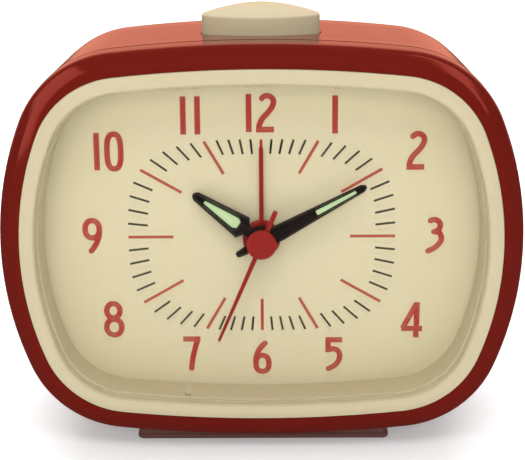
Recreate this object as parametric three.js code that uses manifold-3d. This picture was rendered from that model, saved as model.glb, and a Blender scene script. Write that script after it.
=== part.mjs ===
// A battery travel alarm clock with a rounded television-screen outline, built as its separate pieces.
// Millimetres, +Z up, +X to the right and the dial facing -Y. The origin is on the table, under the
// middle of the clock. Inside the file every piece is placed from the centre of the dial's face.
import * as THREE from 'three';
import Module from 'manifold-3d';
import { LoftGeometry } from 'three/addons/geometries/LoftGeometry.js';
import { mergeVertices } from 'three/addons/utils/BufferGeometryUtils.js';

const wasm = await Module();
wasm.setup();

// ---- driving dimensions ----
const dialHeight = 45.5;
const frontY = -10.5;
const backY = 40;
const knobBackY = 42;
const middleY = (frontY + knobBackY) / 2;
const gap = 0.3;

// Each outline is four long arcs joined by four tangent corner arcs.
const ringOutline = { halfWidth: 54.3, halfHeight: 42, topRadius: 282, sideRadius: 70.7, cornerRadius: 22.8 };
const bezelOutline = { halfWidth: 49.85, halfHeight: 37.45, topRadius: 280, sideRadius: 64.8, cornerRadius: 17.8 };
const buttonOutline = { halfWidth: 12.4, halfHeight: 7, topRadius: 21, sideRadius: 9, cornerRadius: 3.2 };
const buttonY = 13;

const seamY = 0.15;
const shellWall = 2;
const screwInset = 4.6;
const footHalfWidth = 27.4;
const footFront = -2;
const footBack = 34;
const footScrew = { x: 18, y: 9 };

// The hands turn about the centre. The setting shafts lie either side of it, ten from it.
const shaft = { x: 9.4, z: 3.412 };
const shaftRadius = 1.1;
const arborRadius = 0.4;
const settingModule = 0.5;
const secondModule = 0.4;
const rotorModule = 0.3;
const thirdModule = 7.2 / 27;
const centreModule = 7.2 / 25.5;
const thirdAxis = { x: 0, z: -7.2 };
const middleAxis = { x: 0, z: 7.2 };
const rotorAxis = { x: -4.6, z: 11.505 };
const movement = { left: -19.5, right: 19.5, low: -18.5, high: 23.5, front: 2.5, back: 17.9, wall: 1.2 };
const lugX = 22.5;
const lugZ = 2;

const bay = { halfLength: 29.5, low: -33.3, high: -14.7, front: 20, wall: 1.5 };
const battery = { radius: 7.1, start: -23.5, end: 27, y: 27.6, z: -24 };
const panel = { halfWidth: 20, low: -7, high: 14, floor: 37.5 };
const slider = { x: 33, z: 0.4, travel: 5 };
const buzzer = { z: 26.5, radius: 10 };
const board = { low: 29, high: 30.2 };
const lamp = { x: -15, y: -3.5 };
const coil = { y: 13.3, z: 18.9, start: -10.2, end: 1 };

// ---- materials ----
function finish(color, roughness, metalness = 0) {
  return new THREE.MeshStandardMaterial({ color, roughness, metalness });
}

const redPlastic = finish(0x96201a, 0.18);
const footPlastic = finish(0x6e2b26, 0.35);
const creamPlastic = finish(0xe2d6b6, 0.35);
const dialCard = finish(0xe0d6b2, 0.75);
const clearPlastic = new THREE.MeshStandardMaterial({ color: 0xf4f6f4, roughness: 0.05, transparent: true, opacity: 0.25 });
const blackPaint = finish(0x231e1e, 0.5);
const redPaint = finish(0x961919, 0.4);
const lumePaint = finish(0xc8ebaf, 0.7);
const blackPlastic = finish(0x2a2a2c, 0.5);
const naturalPlastic = finish(0xd8d8d0, 0.45);
const whitePlastic = finish(0xf0efe8, 0.4);
const steel = finish(0xb8bbc0, 0.35, 1);
const brass = finish(0xc9a24a, 0.35, 1);
const copper = finish(0xb5622f, 0.4, 1);
const circuitGreen = finish(0x1f5a36, 0.5);
const batterySleeve = finish(0x3a4250, 0.35);
const magnetGrey = finish(0x4a4a50, 0.6, 0.5);

// ---- solids ----
function toSolid(geometry) {
  const loose = geometry.index ? geometry.toNonIndexed() : geometry.clone();
  loose.deleteAttribute('normal');
  loose.deleteAttribute('uv');
  const merged = mergeVertices(loose, 1e-4);
  const vertProperties = merged.attributes.position.array;
  const triVerts = new Uint32Array(merged.index.array);
  return new wasm.Manifold(new wasm.Mesh({ numProp: 3, vertProperties, triVerts }));
}

function toGeometry(solid) {
  const mesh = solid.getMesh();
  const geometry = new THREE.BufferGeometry();
  geometry.setAttribute('position', new THREE.BufferAttribute(mesh.vertProperties, 3));
  geometry.setIndex(new THREE.BufferAttribute(mesh.triVerts, 1));
  const faceted = geometry.toNonIndexed();
  faceted.computeVertexNormals();
  return faceted;
}

function join(...solids) {
  return solids.reduce((whole, next) => whole.add(next));
}

function cut(whole, ...tools) {
  return tools.reduce((rest, tool) => rest.subtract(tool), whole);
}

function box(x0, x1, y0, y1, z0, z1) {
  const geometry = new THREE.BoxGeometry(x1 - x0, y1 - y0, z1 - z0);
  geometry.translate((x0 + x1) / 2, (y0 + y1) / 2, (z0 + z1) / 2);
  return toSolid(geometry);
}

// A round rod along Y, standing on its own axis at x, z.
function rod(radius, y0, y1, x = 0, z = 0, sides = 12) {
  const geometry = new THREE.CylinderGeometry(radius, radius, y1 - y0, sides);
  geometry.translate(x, (y0 + y1) / 2, z);
  return toSolid(geometry);
}

// A round rod along Z.
function post(radius, z0, z1, x, y, sides = 12) {
  const geometry = new THREE.CylinderGeometry(radius, radius, z1 - z0, sides);
  geometry.rotateX(Math.PI / 2);
  geometry.translate(x, y, (z0 + z1) / 2);
  return toSolid(geometry);
}

// A round rod along X.
function bar(radius, x0, x1, y, z, sides = 12) {
  const geometry = new THREE.CylinderGeometry(radius, radius, x1 - x0, sides);
  geometry.rotateZ(Math.PI / 2);
  geometry.translate((x0 + x1) / 2, y, z);
  return toSolid(geometry);
}

// A flat shape drawn in X and Z, given its thickness along Y.
function plate(shape, y0, y1) {
  const geometry = new THREE.ExtrudeGeometry(shape, { depth: y1 - y0, bevelEnabled: false, curveSegments: 6 });
  geometry.rotateX(Math.PI / 2);
  geometry.translate(0, y1, 0);
  return toSolid(geometry);
}

function polygon(points) {
  return new THREE.Shape(points.map(([x, z]) => new THREE.Vector2(x, z)));
}

function roundedRectangle(x0, x1, z0, z1, radius) {
  const shape = new THREE.Shape();
  shape.moveTo(x0 + radius, z0);
  shape.absarc(x1 - radius, z0 + radius, radius, -Math.PI / 2, 0);
  shape.absarc(x1 - radius, z1 - radius, radius, 0, Math.PI / 2);
  shape.absarc(x0 + radius, z1 - radius, radius, Math.PI / 2, Math.PI);
  shape.absarc(x0 + radius, z0 + radius, radius, Math.PI, Math.PI * 1.5);
  return shape;
}

// A round wire along a smooth route.
function wire(points, radius, steps, sides = 6) {
  const route = new THREE.CatmullRomCurve3(points.map((p) => new THREE.Vector3(...p)));
  const section = new THREE.Shape();
  section.absarc(0, 0, radius, 0, Math.PI * 2);
  const settings = { steps, extrudePath: route, bevelEnabled: false, curveSegments: sides / 2 };
  return toSolid(new THREE.ExtrudeGeometry(section, settings));
}

// ---- the rounded outline ----
// Finds the first-quadrant corner centre, which lies where the corner arc touches both long arcs.
function cornerCentre({ halfWidth, halfHeight, topRadius, sideRadius, cornerRadius }) {
  const topZ = halfHeight - topRadius;
  const sideX = halfWidth - sideRadius;
  const fromTop = topRadius - cornerRadius;
  const fromSide = sideRadius - cornerRadius;
  const between = Math.hypot(sideX, topZ);
  const along = (fromTop ** 2 - fromSide ** 2 + between ** 2) / (2 * between);
  const across = Math.sqrt(fromTop ** 2 - along ** 2);
  const ux = sideX / between;
  const uz = -topZ / between;
  return new THREE.Vector2(ux * along + uz * across, topZ + uz * along - ux * across);
}

// The outline's points, anticlockwise from the top, moved inwards by inset all round.
function outlinePoints(outline, inset = 0) {
  const corner = cornerCentre(outline);
  const topCentre = new THREE.Vector2(0, outline.halfHeight - outline.topRadius);
  const sideCentre = new THREE.Vector2(outline.halfWidth - outline.sideRadius, 0);
  const topEnd = corner.clone().sub(topCentre).angle();
  const sideEnd = corner.clone().sub(sideCentre).angle();
  const quarter = [];
  const sweep = (centre, radius, from, to, count) => {
    for (let i = 0; i < count; i += 1) {
      const angle = from + ((to - from) * i) / count;
      quarter.push(new THREE.Vector2(Math.cos(angle), Math.sin(angle)).multiplyScalar(radius).add(centre));
    }
  };
  sweep(sideCentre, outline.sideRadius - inset, 0, sideEnd, 2);
  sweep(corner, outline.cornerRadius - inset, sideEnd, topEnd, 5);
  sweep(topCentre, outline.topRadius - inset, topEnd, Math.PI / 2, 2);
  const half = [...quarter, new THREE.Vector2(0, outline.halfHeight - inset)];
  const left = quarter.slice(1).reverse().map((p) => new THREE.Vector2(-p.x, p.y));
  const top = [...half, ...left, new THREE.Vector2(-(outline.halfWidth - inset), 0)];
  const bottom = top.slice(1, -1).reverse().map((p) => new THREE.Vector2(p.x, -p.y));
  return [...top, ...bottom];
}

// A section of a loft whose outline faces along Y. Each entry is [outline, inset, y].
function facingSection([outline, inset, y]) {
  return outlinePoints(outline, inset).reverse().map((p) => new THREE.Vector3(p.x, y, p.y));
}

// A ring carried round the outline: its profile closes on itself.
function outlineRing(profile) {
  return toSolid(new LoftGeometry([...profile, profile[0]].reverse().map(facingSection)));
}

// A filled block whose sides follow the profile from its front to its back.
function outlineBlock(profile) {
  return toSolid(new LoftGeometry(profile.map(facingSection), { capStart: true, capEnd: true }));
}

// ---- gears ----
// A wheel of straight-sided teeth with rounded-off clearance. phase turns it by a part of one tooth.
function gear({ teeth, module, x = 0, z = 0, y0, y1, phase = 0 }) {
  const pitch = (Math.PI * 2) / teeth;
  const radius = (teeth * module) / 2;
  const tip = radius + module * 0.8;
  const root = radius - module * 1.25;
  const points = [];
  for (let i = 0; i < teeth; i += 1) {
    const angle = (i + phase) * pitch;
    points.push([root, angle - pitch * 0.24], [tip, angle - pitch * 0.1], [tip, angle + pitch * 0.1]);
    points.push([root, angle + pitch * 0.24]);
  }
  const flat = points.map(([r, a]) => [x + r * Math.cos(a), z + r * Math.sin(a)]);
  return plate(polygon(flat), y0, y1);
}

// ---- case ----
function caseScrewPlaces() {
  const corner = cornerCentre(ringOutline);
  const reach = (ringOutline.cornerRadius - screwInset) * Math.SQRT1_2;
  const x = corner.x + reach;
  const z = corner.y + reach;
  return [[x, z], [-x, z], [-x, -z], [x, -z]];
}

function makeFrontShell() {
  const ring = outlineRing([
    [ringOutline, 0, -seamY],
    [ringOutline, 0, -6.2],
    [ringOutline, 0.4, -7.3],
    [ringOutline, 1.4, -8],
    [bezelOutline, -gap, -9.9],
    [bezelOutline, -gap, -7.7],
    [bezelOutline, 1.7, -7.7],
    [bezelOutline, 1.7, -6.2],
    [ringOutline, shellWall, -6.2],
    [ringOutline, shellWall, -seamY],
  ]);
  const posts = caseScrewPlaces().map(([x, z]) => rod(1.9, -6.6, 7.7, x, z, 10));
  const pilots = caseScrewPlaces().map(([x, z]) => rod(0.95, -3, 9, x, z, 8));
  const bosses = [-1, 1].map((side) => rod(2, -6.6, 0.5, side * 49.3, 0, 10));
  const bossPilots = [-1, 1].map((side) => rod(0.95, -4.5, 2, side * 49.3, 0, 8));
  return cut(join(ring, ...posts, ...bosses), ...pilots, ...bossPilots);
}

function makeBezel() {
  const ring = outlineRing([
    [bezelOutline, 0, -8],
    [bezelOutline, 0, -9.9],
    [bezelOutline, 0.6, -10.35],
    [bezelOutline, 1.7, frontY],
    [bezelOutline, 2.8, -10.3],
    [bezelOutline, 3.35, -9.8],
    [bezelOutline, 3.35, -7.2],
    [bezelOutline, 3.6, -7.2],
    [bezelOutline, 4.4, -gap],
    [bezelOutline, 2.6, -gap],
    [bezelOutline, 2.6, -7.3],
    [bezelOutline, 2.1, -8],
  ]);
  const lampWindow = box(lamp.x - 0.8, lamp.x + 0.8, lamp.y - 0.8, lamp.y + 0.8, -36, -32);
  return ring.subtract(lampWindow);
}

function makeLens() {
  return outlineBlock([
    [bezelOutline, 3.65, -7.5],
    [bezelOutline, 3.65, -9.3],
    [bezelOutline, 4.1, -9.7],
  ].reverse());
}

function makeRearShell() {
  const outer = outlineBlock([
    [ringOutline, 0.15, seamY],
    [ringOutline, 0.2, 5],
    [ringOutline, 0.6, 30],
    [ringOutline, 0.8, 37],
    [ringOutline, 1.3, 38.6],
    [ringOutline, 2.3, 39.6],
    [ringOutline, 3.9, backY],
  ]);
  const inner = outlineBlock([
    [ringOutline, shellWall + 0.15, -1],
    [ringOutline, shellWall + 1.2, 36.6],
    [ringOutline, shellWall + 2.4, backY - shellWall],
  ]);
  const floorY = backY - shellWall + 0.5;
  const bayBlock = box(
    -bay.halfLength - bay.wall, bay.halfLength + bay.wall,
    bay.front - bay.wall, floorY, bay.low - bay.wall, bay.high + bay.wall,
  );
  const panelBlock = box(-panel.halfWidth - 2, panel.halfWidth + 2, panel.floor - 2, floorY, panel.low - 2, panel.high + 2);
  const posts = caseScrewPlaces().map(([x, z]) => rod(2.8, 8, floorY, x, z, 10));
  const bosses = [-1, 1].map((side) => post(2.8, -40.5, -34, side * footScrew.x, footScrew.y, 10));
  const boardPosts = [-1, 1].flatMap((side) => [
    box(...sorted(side * 14, side * 16.5), 11, 15, 27, 40),
    box(...sorted(side * 12, side * 16.5), 11, 15, 27, board.low - gap),
  ]);
  let shell = join(cut(outer, inner), bayBlock, panelBlock, ...posts, ...bosses, ...boardPosts);
  const screwHoles = caseScrewPlaces().flatMap(([x, z]) => [
    rod(1.7, 12, 41, x, z, 10),
    rod(1.05, 7, 13, x, z, 10),
  ]);
  const footHoles = [-1, 1].map((side) => post(0.95, -43, -35.5, side * footScrew.x, footScrew.y, 8));
  const bayRoom = box(-bay.halfLength, bay.halfLength, bay.front, 41, bay.low, bay.high);
  const doorSeat = box(-bay.halfLength - 1.5, bay.halfLength + 1.5, 38.4, 41, bay.low - 1.2, bay.high + 1.2);
  const panelRoom = box(-panel.halfWidth, panel.halfWidth, panel.floor, 41, panel.low, panel.high);
  const shaftHoles = [-1, 1].map((side) => rod(shaftRadius + 0.4, 35, 38, side * shaft.x, shaft.z, 12));
  const sliderSlot = box(slider.x - 1.8, slider.x + 1.8, 37, 41, slider.z - 4, slider.z + slider.travel + 4);
  const soundSlots = [-4.8, -1.6, 1.6, 4.8].map((z) => box(-7, 7, 37, 41, buzzer.z + z - 0.8, buzzer.z + z + 0.8));
  const buttonHole = topPlate(buttonOutline, -gap, 35, 45);
  const leadHoles = [-1, 1].map((side) => box(...sorted(side * 28.6, side * 32), 21, 22.6, -16.6, -12));
  shell = cut(shell, ...screwHoles, ...footHoles, bayRoom, doorSeat, panelRoom, ...shaftHoles);
  return cut(shell, sliderSlot, ...soundSlots, buttonHole, ...leadHoles);
}

function sorted(a, b) {
  return [Math.min(a, b), Math.max(a, b)];
}

// A block whose plan is the button's outline, standing in the top of the case.
function topPlate(outline, inset, z0, z1) {
  return topBlock([[outline, inset, z0], [outline, inset, z1]]);
}

function topBlock(profile) {
  const sections = profile.map(([outline, inset, z]) =>
    outlinePoints(outline, inset).map((p) => new THREE.Vector3(p.x, buttonY + p.y, z)));
  return toSolid(new LoftGeometry(sections, { capStart: true, capEnd: true }));
}

function makeFoot() {
  const block = plate(roundedRectangle(-footHalfWidth, footHalfWidth, -dialHeight, -38, 1), footFront, footBack);
  const caseRoom = outlineBlock([[ringOutline, -gap, footFront - 1], [ringOutline, -gap, footBack + 1]]);
  const screwRooms = [-1, 1].flatMap((side) => [
    post(2.2, -47, -43.6, side * footScrew.x, footScrew.y, 12),
    post(1.1, -44, -38, side * footScrew.x, footScrew.y, 10),
  ]);
  return cut(block, caseRoom, ...screwRooms);
}

function makeCaseScrew([x, z]) {
  const head = rod(1.5, 12.3, 14, x, z, 10);
  const shank = rod(0.8, 2, 12.5, x, z, 8);
  const slot = cut(head, box(x - 0.9, x + 0.9, 13.5, 15, z - 0.25, z + 0.25), box(x - 0.25, x + 0.25, 13.5, 15, z - 0.9, z + 0.9));
  return join(slot, shank);
}

function makeFootScrew(side) {
  const x = side * footScrew.x;
  const head = post(1.9, -45.1, -43.9, x, footScrew.y, 12);
  const shank = post(0.8, -44, -36.5, x, footScrew.y, 8);
  const cross = [
    box(x - 1.1, x + 1.1, footScrew.y - 0.28, footScrew.y + 0.28, -46, -44.6),
    box(x - 0.28, x + 0.28, footScrew.y - 1.1, footScrew.y + 1.1, -46, -44.6),
  ];
  return join(cut(head, ...cross), shank);
}

// ---- button on top ----
function makeButton() {
  const cap = topBlock([
    [buttonOutline, 0, 38.4],
    [buttonOutline, 0, 45],
    [buttonOutline, 0.3, 45.4],
    [buttonOutline, 1.4, 46.3],
    [buttonOutline, 2.9, 47.2],
  ]);
  const flange = topBlock([[buttonOutline, -1.1, 37.6], [buttonOutline, -1.1, 38.8]]);
  const stem = post(1.8, 33.4, 38, 0, buttonY, 10);
  return join(cap, flange, stem);
}

// A coil of points whose radius runs evenly from startRadius to endRadius along its length.
function coilPoints({ startRadius, endRadius, length, turns }, place) {
  const steps = turns * 8;
  const points = [];
  for (let i = 0; i <= steps; i += 1) {
    const part = i / steps;
    const angle = part * turns * Math.PI * 2;
    const radius = startRadius + (endRadius - startRadius) * part;
    points.push(place(radius * Math.cos(angle), radius * Math.sin(angle), length * part));
  }
  return points;
}

function makeButtonSpring() {
  const shape = { startRadius: 3.4, endRadius: 3.4, length: 6.3, turns: 4 };
  return wire(coilPoints(shape, (a, b, along) => [a, buttonY + b, 30.9 + along]), 0.3, 48, 4);
}

function makeButtonBoard() {
  return box(-13.7, 13.7, 6.5, 19.5, board.low, board.high);
}

function makeTactSwitch() {
  const body = box(-2.1, 2.1, buttonY - 1.6, buttonY + 1.6, board.high + gap, 31.2);
  const plunger = post(0.9, 31, 31.7, 0, buttonY, 8);
  return join(body, plunger);
}

// ---- back of the clock ----
function makeBatteryDoor() {
  const x = bay.halfLength + 1.2;
  const low = bay.low - 0.9;
  const high = bay.high + 0.9;
  const plateSolid = box(-x, x, 38.7, backY, low, high);
  const ribs = [-14, 14].map((place) => box(place - 0.8, place + 0.8, 36.4, 39, bay.low + 1, bay.high - 1));
  const grip = box(-5, 5, 39.3, 41, high - 3.4, high - 1.2);
  return cut(join(plateSolid, ...ribs), grip);
}

function makeSlider() {
  const stem = box(slider.x - 1.4, slider.x + 1.4, 37.4, 40.5, slider.z - 3, slider.z + 3);
  const inside = box(slider.x - 3.4, slider.x + 3.4, 36.2, 37.6, slider.z - 4.2, slider.z + 4.2);
  const cap = box(slider.x - 2.8, slider.x + 2.8, 40.3, 41.5, slider.z - 3.4, slider.z + 3.4);
  const ridges = [-2, 0, 2].map((z) => box(slider.x - 3.5, slider.x + 3.5, 41, 42, slider.z + z - 0.35, slider.z + z + 0.35));
  return cut(join(stem, inside, cap), ...ridges);
}

function makeKnob(side, shaftEnd) {
  const x = side * shaft.x;
  const grip = gear({ teeth: 24, module: 0.5, x, z: shaft.z, y0: 38.2, y1: knobBackY });
  const stem = rod(shaftRadius, shaftEnd, 39, x, shaft.z, 10);
  return join(grip, stem);
}

// ---- dial side ----
function makeDial() {
  return cut(outlineBlock([[bezelOutline, 3.2, 0], [bezelOutline, 3.2, 0.5]]), rod(2.9, -1, 2, 0, 0, 16));
}

function makeDialCarrier() {
  const sheet = outlineBlock([[bezelOutline, 3.3, 0.8], [bezelOutline, 3.3, 2.2]]);
  const ears = [-1, 1].map((side) => box(...sorted(side * 44, side * 51.4), 0.8, 2.2, -3, 3));
  const earHoles = [-1, 1].map((side) => rod(0.95, 0, 3, side * 49.3, 0, 8));
  const lugHoles = [-1, 1].map((side) => rod(0.95, 0, 3, side * lugX, lugZ, 8));
  return cut(join(sheet, ...ears), ...earHoles, ...lugHoles, rod(2.9, 0, 3, 0, 0, 16));
}

function makeSmallScrew(x, z, headY, length) {
  const head = cut(rod(1.6, headY, headY + 1.2, x, z, 10), box(x - 1.8, x + 1.8, headY + 0.8, headY + 2, z - 0.25, z + 0.25));
  return join(head, rod(0.75, headY - length, headY + 0.2, x, z, 8));
}

// A hand's own outline: pairs of distance along the hand and half-width, turned to its angle.
function handShape(halves, degrees) {
  const angle = THREE.MathUtils.degToRad(degrees);
  const along = [Math.sin(angle), Math.cos(angle)];
  const side = [Math.cos(angle), -Math.sin(angle)];
  const place = (u, v) => [u * along[0] + v * side[0], u * along[1] + v * side[1]];
  const right = halves.map(([u, v]) => place(u, v));
  const left = halves.filter(([, v]) => v > 0).reverse().map(([u, v]) => place(u, -v));
  return polygon([...right, ...left]);
}

const handAngle = { hour: 305.3, minute: 61.3, second: 203.2, alarm: 0 };

function makeAlarmHand() {
  const pointer = plate(handShape([[-2, 0.45], [19.4, 0.45], [19.6, 0.25]], handAngle.alarm), -1.7, -1.3);
  return cut(join(pointer, rod(4, -1.7, -0.9, 0, 0, 20)), rod(2.15, -3, 1, 0, 0, 16));
}

const hourHalves = [[-1, 1.1], [3.8, 1.1], [4.8, 2.6], [16.7, 1], [17.4, 0.3]];
const hourSlot = [[5.6, 1.25], [6.5, 1.75], [15.6, 0.55]];
const minuteHalves = [[-6, 0.4], [-5.6, 0.65], [0, 1.3], [4.1, 1.8], [23.9, 0.75], [24.9, 0]];
const minuteSlot = [[13, 0.75], [22.8, 0.4]];

function makeHourHand() {
  const blade = plate(handShape(hourHalves, handAngle.hour), -3.1, -2.7);
  const slot = plate(handShape(hourSlot, handAngle.hour), -4, -2);
  return cut(join(blade, rod(3.1, -3.1, -2.3, 0, 0, 20)), slot, rod(1.55, -4, 0, 0, 0, 16));
}

function makeMinuteHand() {
  const blade = plate(handShape(minuteHalves, handAngle.minute), -4.5, -4.1);
  const slot = plate(handShape(minuteSlot, handAngle.minute), -5, -4);
  return cut(join(blade, rod(2.7, -4.5, -3.7, 0, 0, 20)), slot, rod(0.85, -5, 0, 0, 0, 12));
}

// The luminous filling lies in its hand's slot, with a hair of room all round.
function makeLume(halves, degrees, y0, y1) {
  const inset = 0.12;
  const last = halves.length - 1;
  const smaller = halves.map(([u, v], i) => [u + (i === 0 ? inset : i === last ? -inset : 0), v - inset]);
  return plate(handShape(smaller, degrees), y0, y1);
}

function makeSecondHand() {
  const pointer = plate(handShape([[-7.7, 0.25], [-7.5, 0.5], [2, 0.5], [23, 0.28], [23.3, 0.15]], handAngle.second), -5.9, -5.5);
  return cut(join(pointer, rod(1.8, -5.9, -5, 0, 0, 14)), rod(0.6, -5.7, 0, 0, 0, 10));
}

function makeCap() {
  return rod(3.12, -6.9, -6.2, 0, 0, 24);
}

// ---- movement ----
const layer = {
  alarm: [4.1, 5],
  hour: [5.5, 6.4],
  setting: [7.1, 8.1],
  middle: [8.6, 9.4],
  centre: [9.8, 10.6],
  third: [11.5, 12.3],
  second: [13.1, 13.9],
  intermediate: [14.7, 15.5],
  back: [16.5, 17.9],
};

function pivotHole({ x, z }, y0, y1) {
  return rod(0.6, y0, y1, x, z, 8);
}

function movementOutline(y0, y1, inset = 0) {
  const { left, right, low, high } = movement;
  return box(left + inset, right - inset, y0, y1, low + inset, high - inset);
}

function makeMovementFront() {
  const tray = cut(movementOutline(movement.front, 10), movementOutline(3.7, 11, movement.wall));
  const lugs = [-1, 1].map((side) => box(...sorted(side * 18.5, side * 25.3), movement.front, 3.7, lugZ - 3, lugZ + 3));
  const lugHoles = [-1, 1].map((side) => rod(1, 2, 4, side * lugX, lugZ, 8));
  const pivots = [-1, 1].map((side) => rod(0.8, 2, 4, side * shaft.x, shaft.z, 8));
  return cut(join(tray, ...lugs), ...lugHoles, ...pivots, rod(2.7, 2, 4, 0, 0, 16));
}

function makeMovementPlate() {
  const [y0, y1] = layer.middle;
  const sheet = movementOutline(y0, y1, movement.wall + gap);
  const shaftHoles = [-1, 1].map((side) => rod(shaftRadius + 0.2, y0 - 1, y1 + 1, side * shaft.x, shaft.z, 10));
  const pivots = [thirdAxis, middleAxis, rotorAxis].map((axis) => pivotHole(axis, y0 - 1, y1 + 1));
  return cut(sheet, ...shaftHoles, ...pivots, rod(1.55, y0 - 1, y1 + 1, 0, 0, 12));
}

function makeMovementBack() {
  const lid = cut(movementOutline(10.3, movement.back), movementOutline(9, layer.back[0], movement.wall));
  const shaftHoles = [-1, 1].map((side) => rod(shaftRadius + 0.2, 16, 19, side * shaft.x, shaft.z, 10));
  const pivots = [thirdAxis, middleAxis, rotorAxis].map((axis) => pivotHole(axis, 16, 19));
  return cut(lid, ...shaftHoles, ...pivots, rod(0.6, 16, 19, 0, 0, 8));
}

function makeAlarmWheel() {
  const [y0, y1] = layer.alarm;
  const wheel = gear({ teeth: 30, module: settingModule, y0, y1 });
  const pipe = rod(2.05, -1.9, y0 + 0.2, 0, 0, 16);
  return cut(join(wheel, pipe), rod(1.6, -3, 6, 0, 0, 16));
}

function makeHourWheel() {
  const [y0, y1] = layer.hour;
  const wheel = gear({ teeth: 32, module: settingModule, y0, y1 });
  const pipe = rod(1.45, -3.3, y0 + 0.2, 0, 0, 16);
  return cut(join(wheel, pipe), rod(0.95, -4, 7, 0, 0, 12));
}

function makeCannonPinion() {
  const pinion = gear({ teeth: 10, module: settingModule, y0: 6.9, y1: 8.3 });
  const pipe = rod(0.78, -4.7, 8, 0, 0, 12);
  const clutchPipe = rod(1.4, 8, 10.8, 0, 0, 12);
  return cut(join(pinion, pipe, clutchPipe), rod(0.56, -6, 12, 0, 0, 10));
}

// The phase that puts a gap of a driven wheel on a tooth of its driver, which has its own phase zero.
// direction is the angle from the driver's axis to the driven one.
function meshPhase(driverTeeth, teeth, direction) {
  const turn = Math.PI * 2;
  return ((direction + Math.PI) * teeth) / turn + (direction * driverTeeth) / turn - 0.5;
}

function directionTo(from, to) {
  return Math.atan2(to.z - from.z, to.x - from.x);
}

const centreAxis = { x: 0, z: 0 };

// The setting wheel and its pinion turn with the time knob, whose shaft is pressed on behind them.
function makeSettingWheel() {
  const place = { x: -shaft.x, z: shaft.z };
  const direction = directionTo(centreAxis, place);
  const [y0, y1] = layer.setting;
  const wheel = gear({ teeth: 30, module: settingModule, ...place, y0, y1, phase: meshPhase(10, 30, direction) });
  const pinion = gear({ teeth: 8, module: settingModule, ...place, y0: 5.3, y1: 7.3, phase: meshPhase(32, 8, direction) });
  const pivot = rod(0.6, 2.8, 5.5, place.x, place.z, 8);
  return join(wheel, pinion, pivot, rod(shaftRadius, 8, 11, place.x, place.z, 10));
}

function makeAlarmPinion() {
  const place = { x: shaft.x, z: shaft.z };
  const phase = meshPhase(30, 10, directionTo(centreAxis, place));
  const pinion = gear({ teeth: 10, module: settingModule, ...place, y0: 3.95, y1: 5.1, phase });
  const pivot = rod(0.6, 2.8, 4.1, place.x, place.z, 8);
  return join(pinion, pivot, rod(shaftRadius, 5, 11, place.x, place.z, 10));
}

function makeCentreWheel() {
  const [y0, y1] = layer.centre;
  return cut(gear({ teeth: 45, module: centreModule, y0, y1 }), rod(1.55, y0 - 1, y1 + 1, 0, 0, 12));
}

function makeThirdWheel() {
  const direction = directionTo(centreAxis, thirdAxis);
  const [y0, y1] = layer.third;
  const wheel = gear({ teeth: 48, module: thirdModule, ...thirdAxis, y0, y1, phase: meshPhase(6, 48, direction) });
  const pinionPhase = meshPhase(45, 6, direction);
  const pinion = gear({ teeth: 6, module: centreModule, ...thirdAxis, y0: 9.7, y1: 11.7, phase: pinionPhase });
  return join(wheel, pinion, rod(arborRadius, 8.7, 17.7, thirdAxis.x, thirdAxis.z, 8));
}

function makeSecondsWheel() {
  const [y0, y1] = layer.second;
  const wheel = gear({ teeth: 30, module: secondModule, y0, y1 });
  const pinion = gear({ teeth: 6, module: thirdModule, y0: 11.3, y1: 13.3 });
  return join(wheel, pinion, rod(0.45, -5.4, 17.7, 0, 0, 8));
}

function makeIntermediateWheel() {
  const direction = directionTo(centreAxis, middleAxis);
  const [y0, y1] = layer.intermediate;
  const wheel = gear({ teeth: 36, module: rotorModule, ...middleAxis, y0, y1 });
  const pinionPhase = meshPhase(30, 6, direction);
  const pinion = gear({ teeth: 6, module: secondModule, ...middleAxis, y0: 12.9, y1: 14.9, phase: pinionPhase });
  return join(wheel, pinion, rod(arborRadius, 8.7, 17.7, middleAxis.x, middleAxis.z, 8));
}

function makeRotor() {
  const { x, z } = rotorAxis;
  const phase = meshPhase(36, 6, directionTo(middleAxis, rotorAxis));
  const pinion = gear({ teeth: 6, module: rotorModule, x, z, y0: 14.5, y1: 15.7, phase });
  return join(rod(2.2, 10.5, 13.7, x, z, 16), pinion, rod(arborRadius, 8.7, 17.7, x, z, 8));
}

// ---- motor and electronics ----
function makeStator() {
  const { x, z } = rotorAxis;
  const outline = polygon([
    [x - 9.4, z - 3.1], [x + 9.4, z - 3.1], [x + 9.4, 21.8], [x + 5.9, 21.8],
    [x + 5.9, z + 3.2], [x - 5.9, z + 3.2], [x - 5.9, 21.8], [x - 9.4, 21.8],
  ]);
  return cut(plate(outline, 11.5, 12.5), rod(2.7, 11, 13, x, z, 16));
}

function makeCoilCore() {
  return box(rotorAxis.x - 9, rotorAxis.x + 9, coil.y - 0.5, coil.y + 0.5, coil.z - 0.8, coil.z + 0.8);
}

function makeCoilBobbin() {
  const { start, end, y, z } = coil;
  const spool = join(bar(1.9, start, end, y, z, 12), bar(2.9, start, start + 0.8, y, z, 16), bar(2.9, end - 0.8, end, y, z, 16));
  return cut(spool, bar(1.4, start - 1, end + 1, y, z, 12));
}

function makeCoilWinding() {
  const { start, end, y, z } = coil;
  return cut(bar(2.7, start + 1, end - 1, y, z, 16), bar(2.1, start, end, y, z, 16));
}

function makeCircuitBoard() {
  const sheet = box(6.3, 18, 12.6, 13.6, 6.5, 21.5);
  return join(sheet, rod(2.6, 13.4, 14.2, 10.5, 16, 12));
}

function makeCrystal() {
  return post(1, 9, 15, 16, 15, 10);
}

function makeAlarmContact() {
  const leaf = box(4, 17, 6.9, 7.2, -13.4, -11.8);
  const foot = box(15.4, 17, 6.9, 8.3, -13.4, -11.8);
  return join(leaf, foot);
}

// ---- power and sound ----
function makeBattery() {
  return join(bar(battery.radius, battery.start, 25.6, battery.y, battery.z, 20), bar(2.7, 25.4, battery.end, battery.y, battery.z, 12));
}

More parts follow.
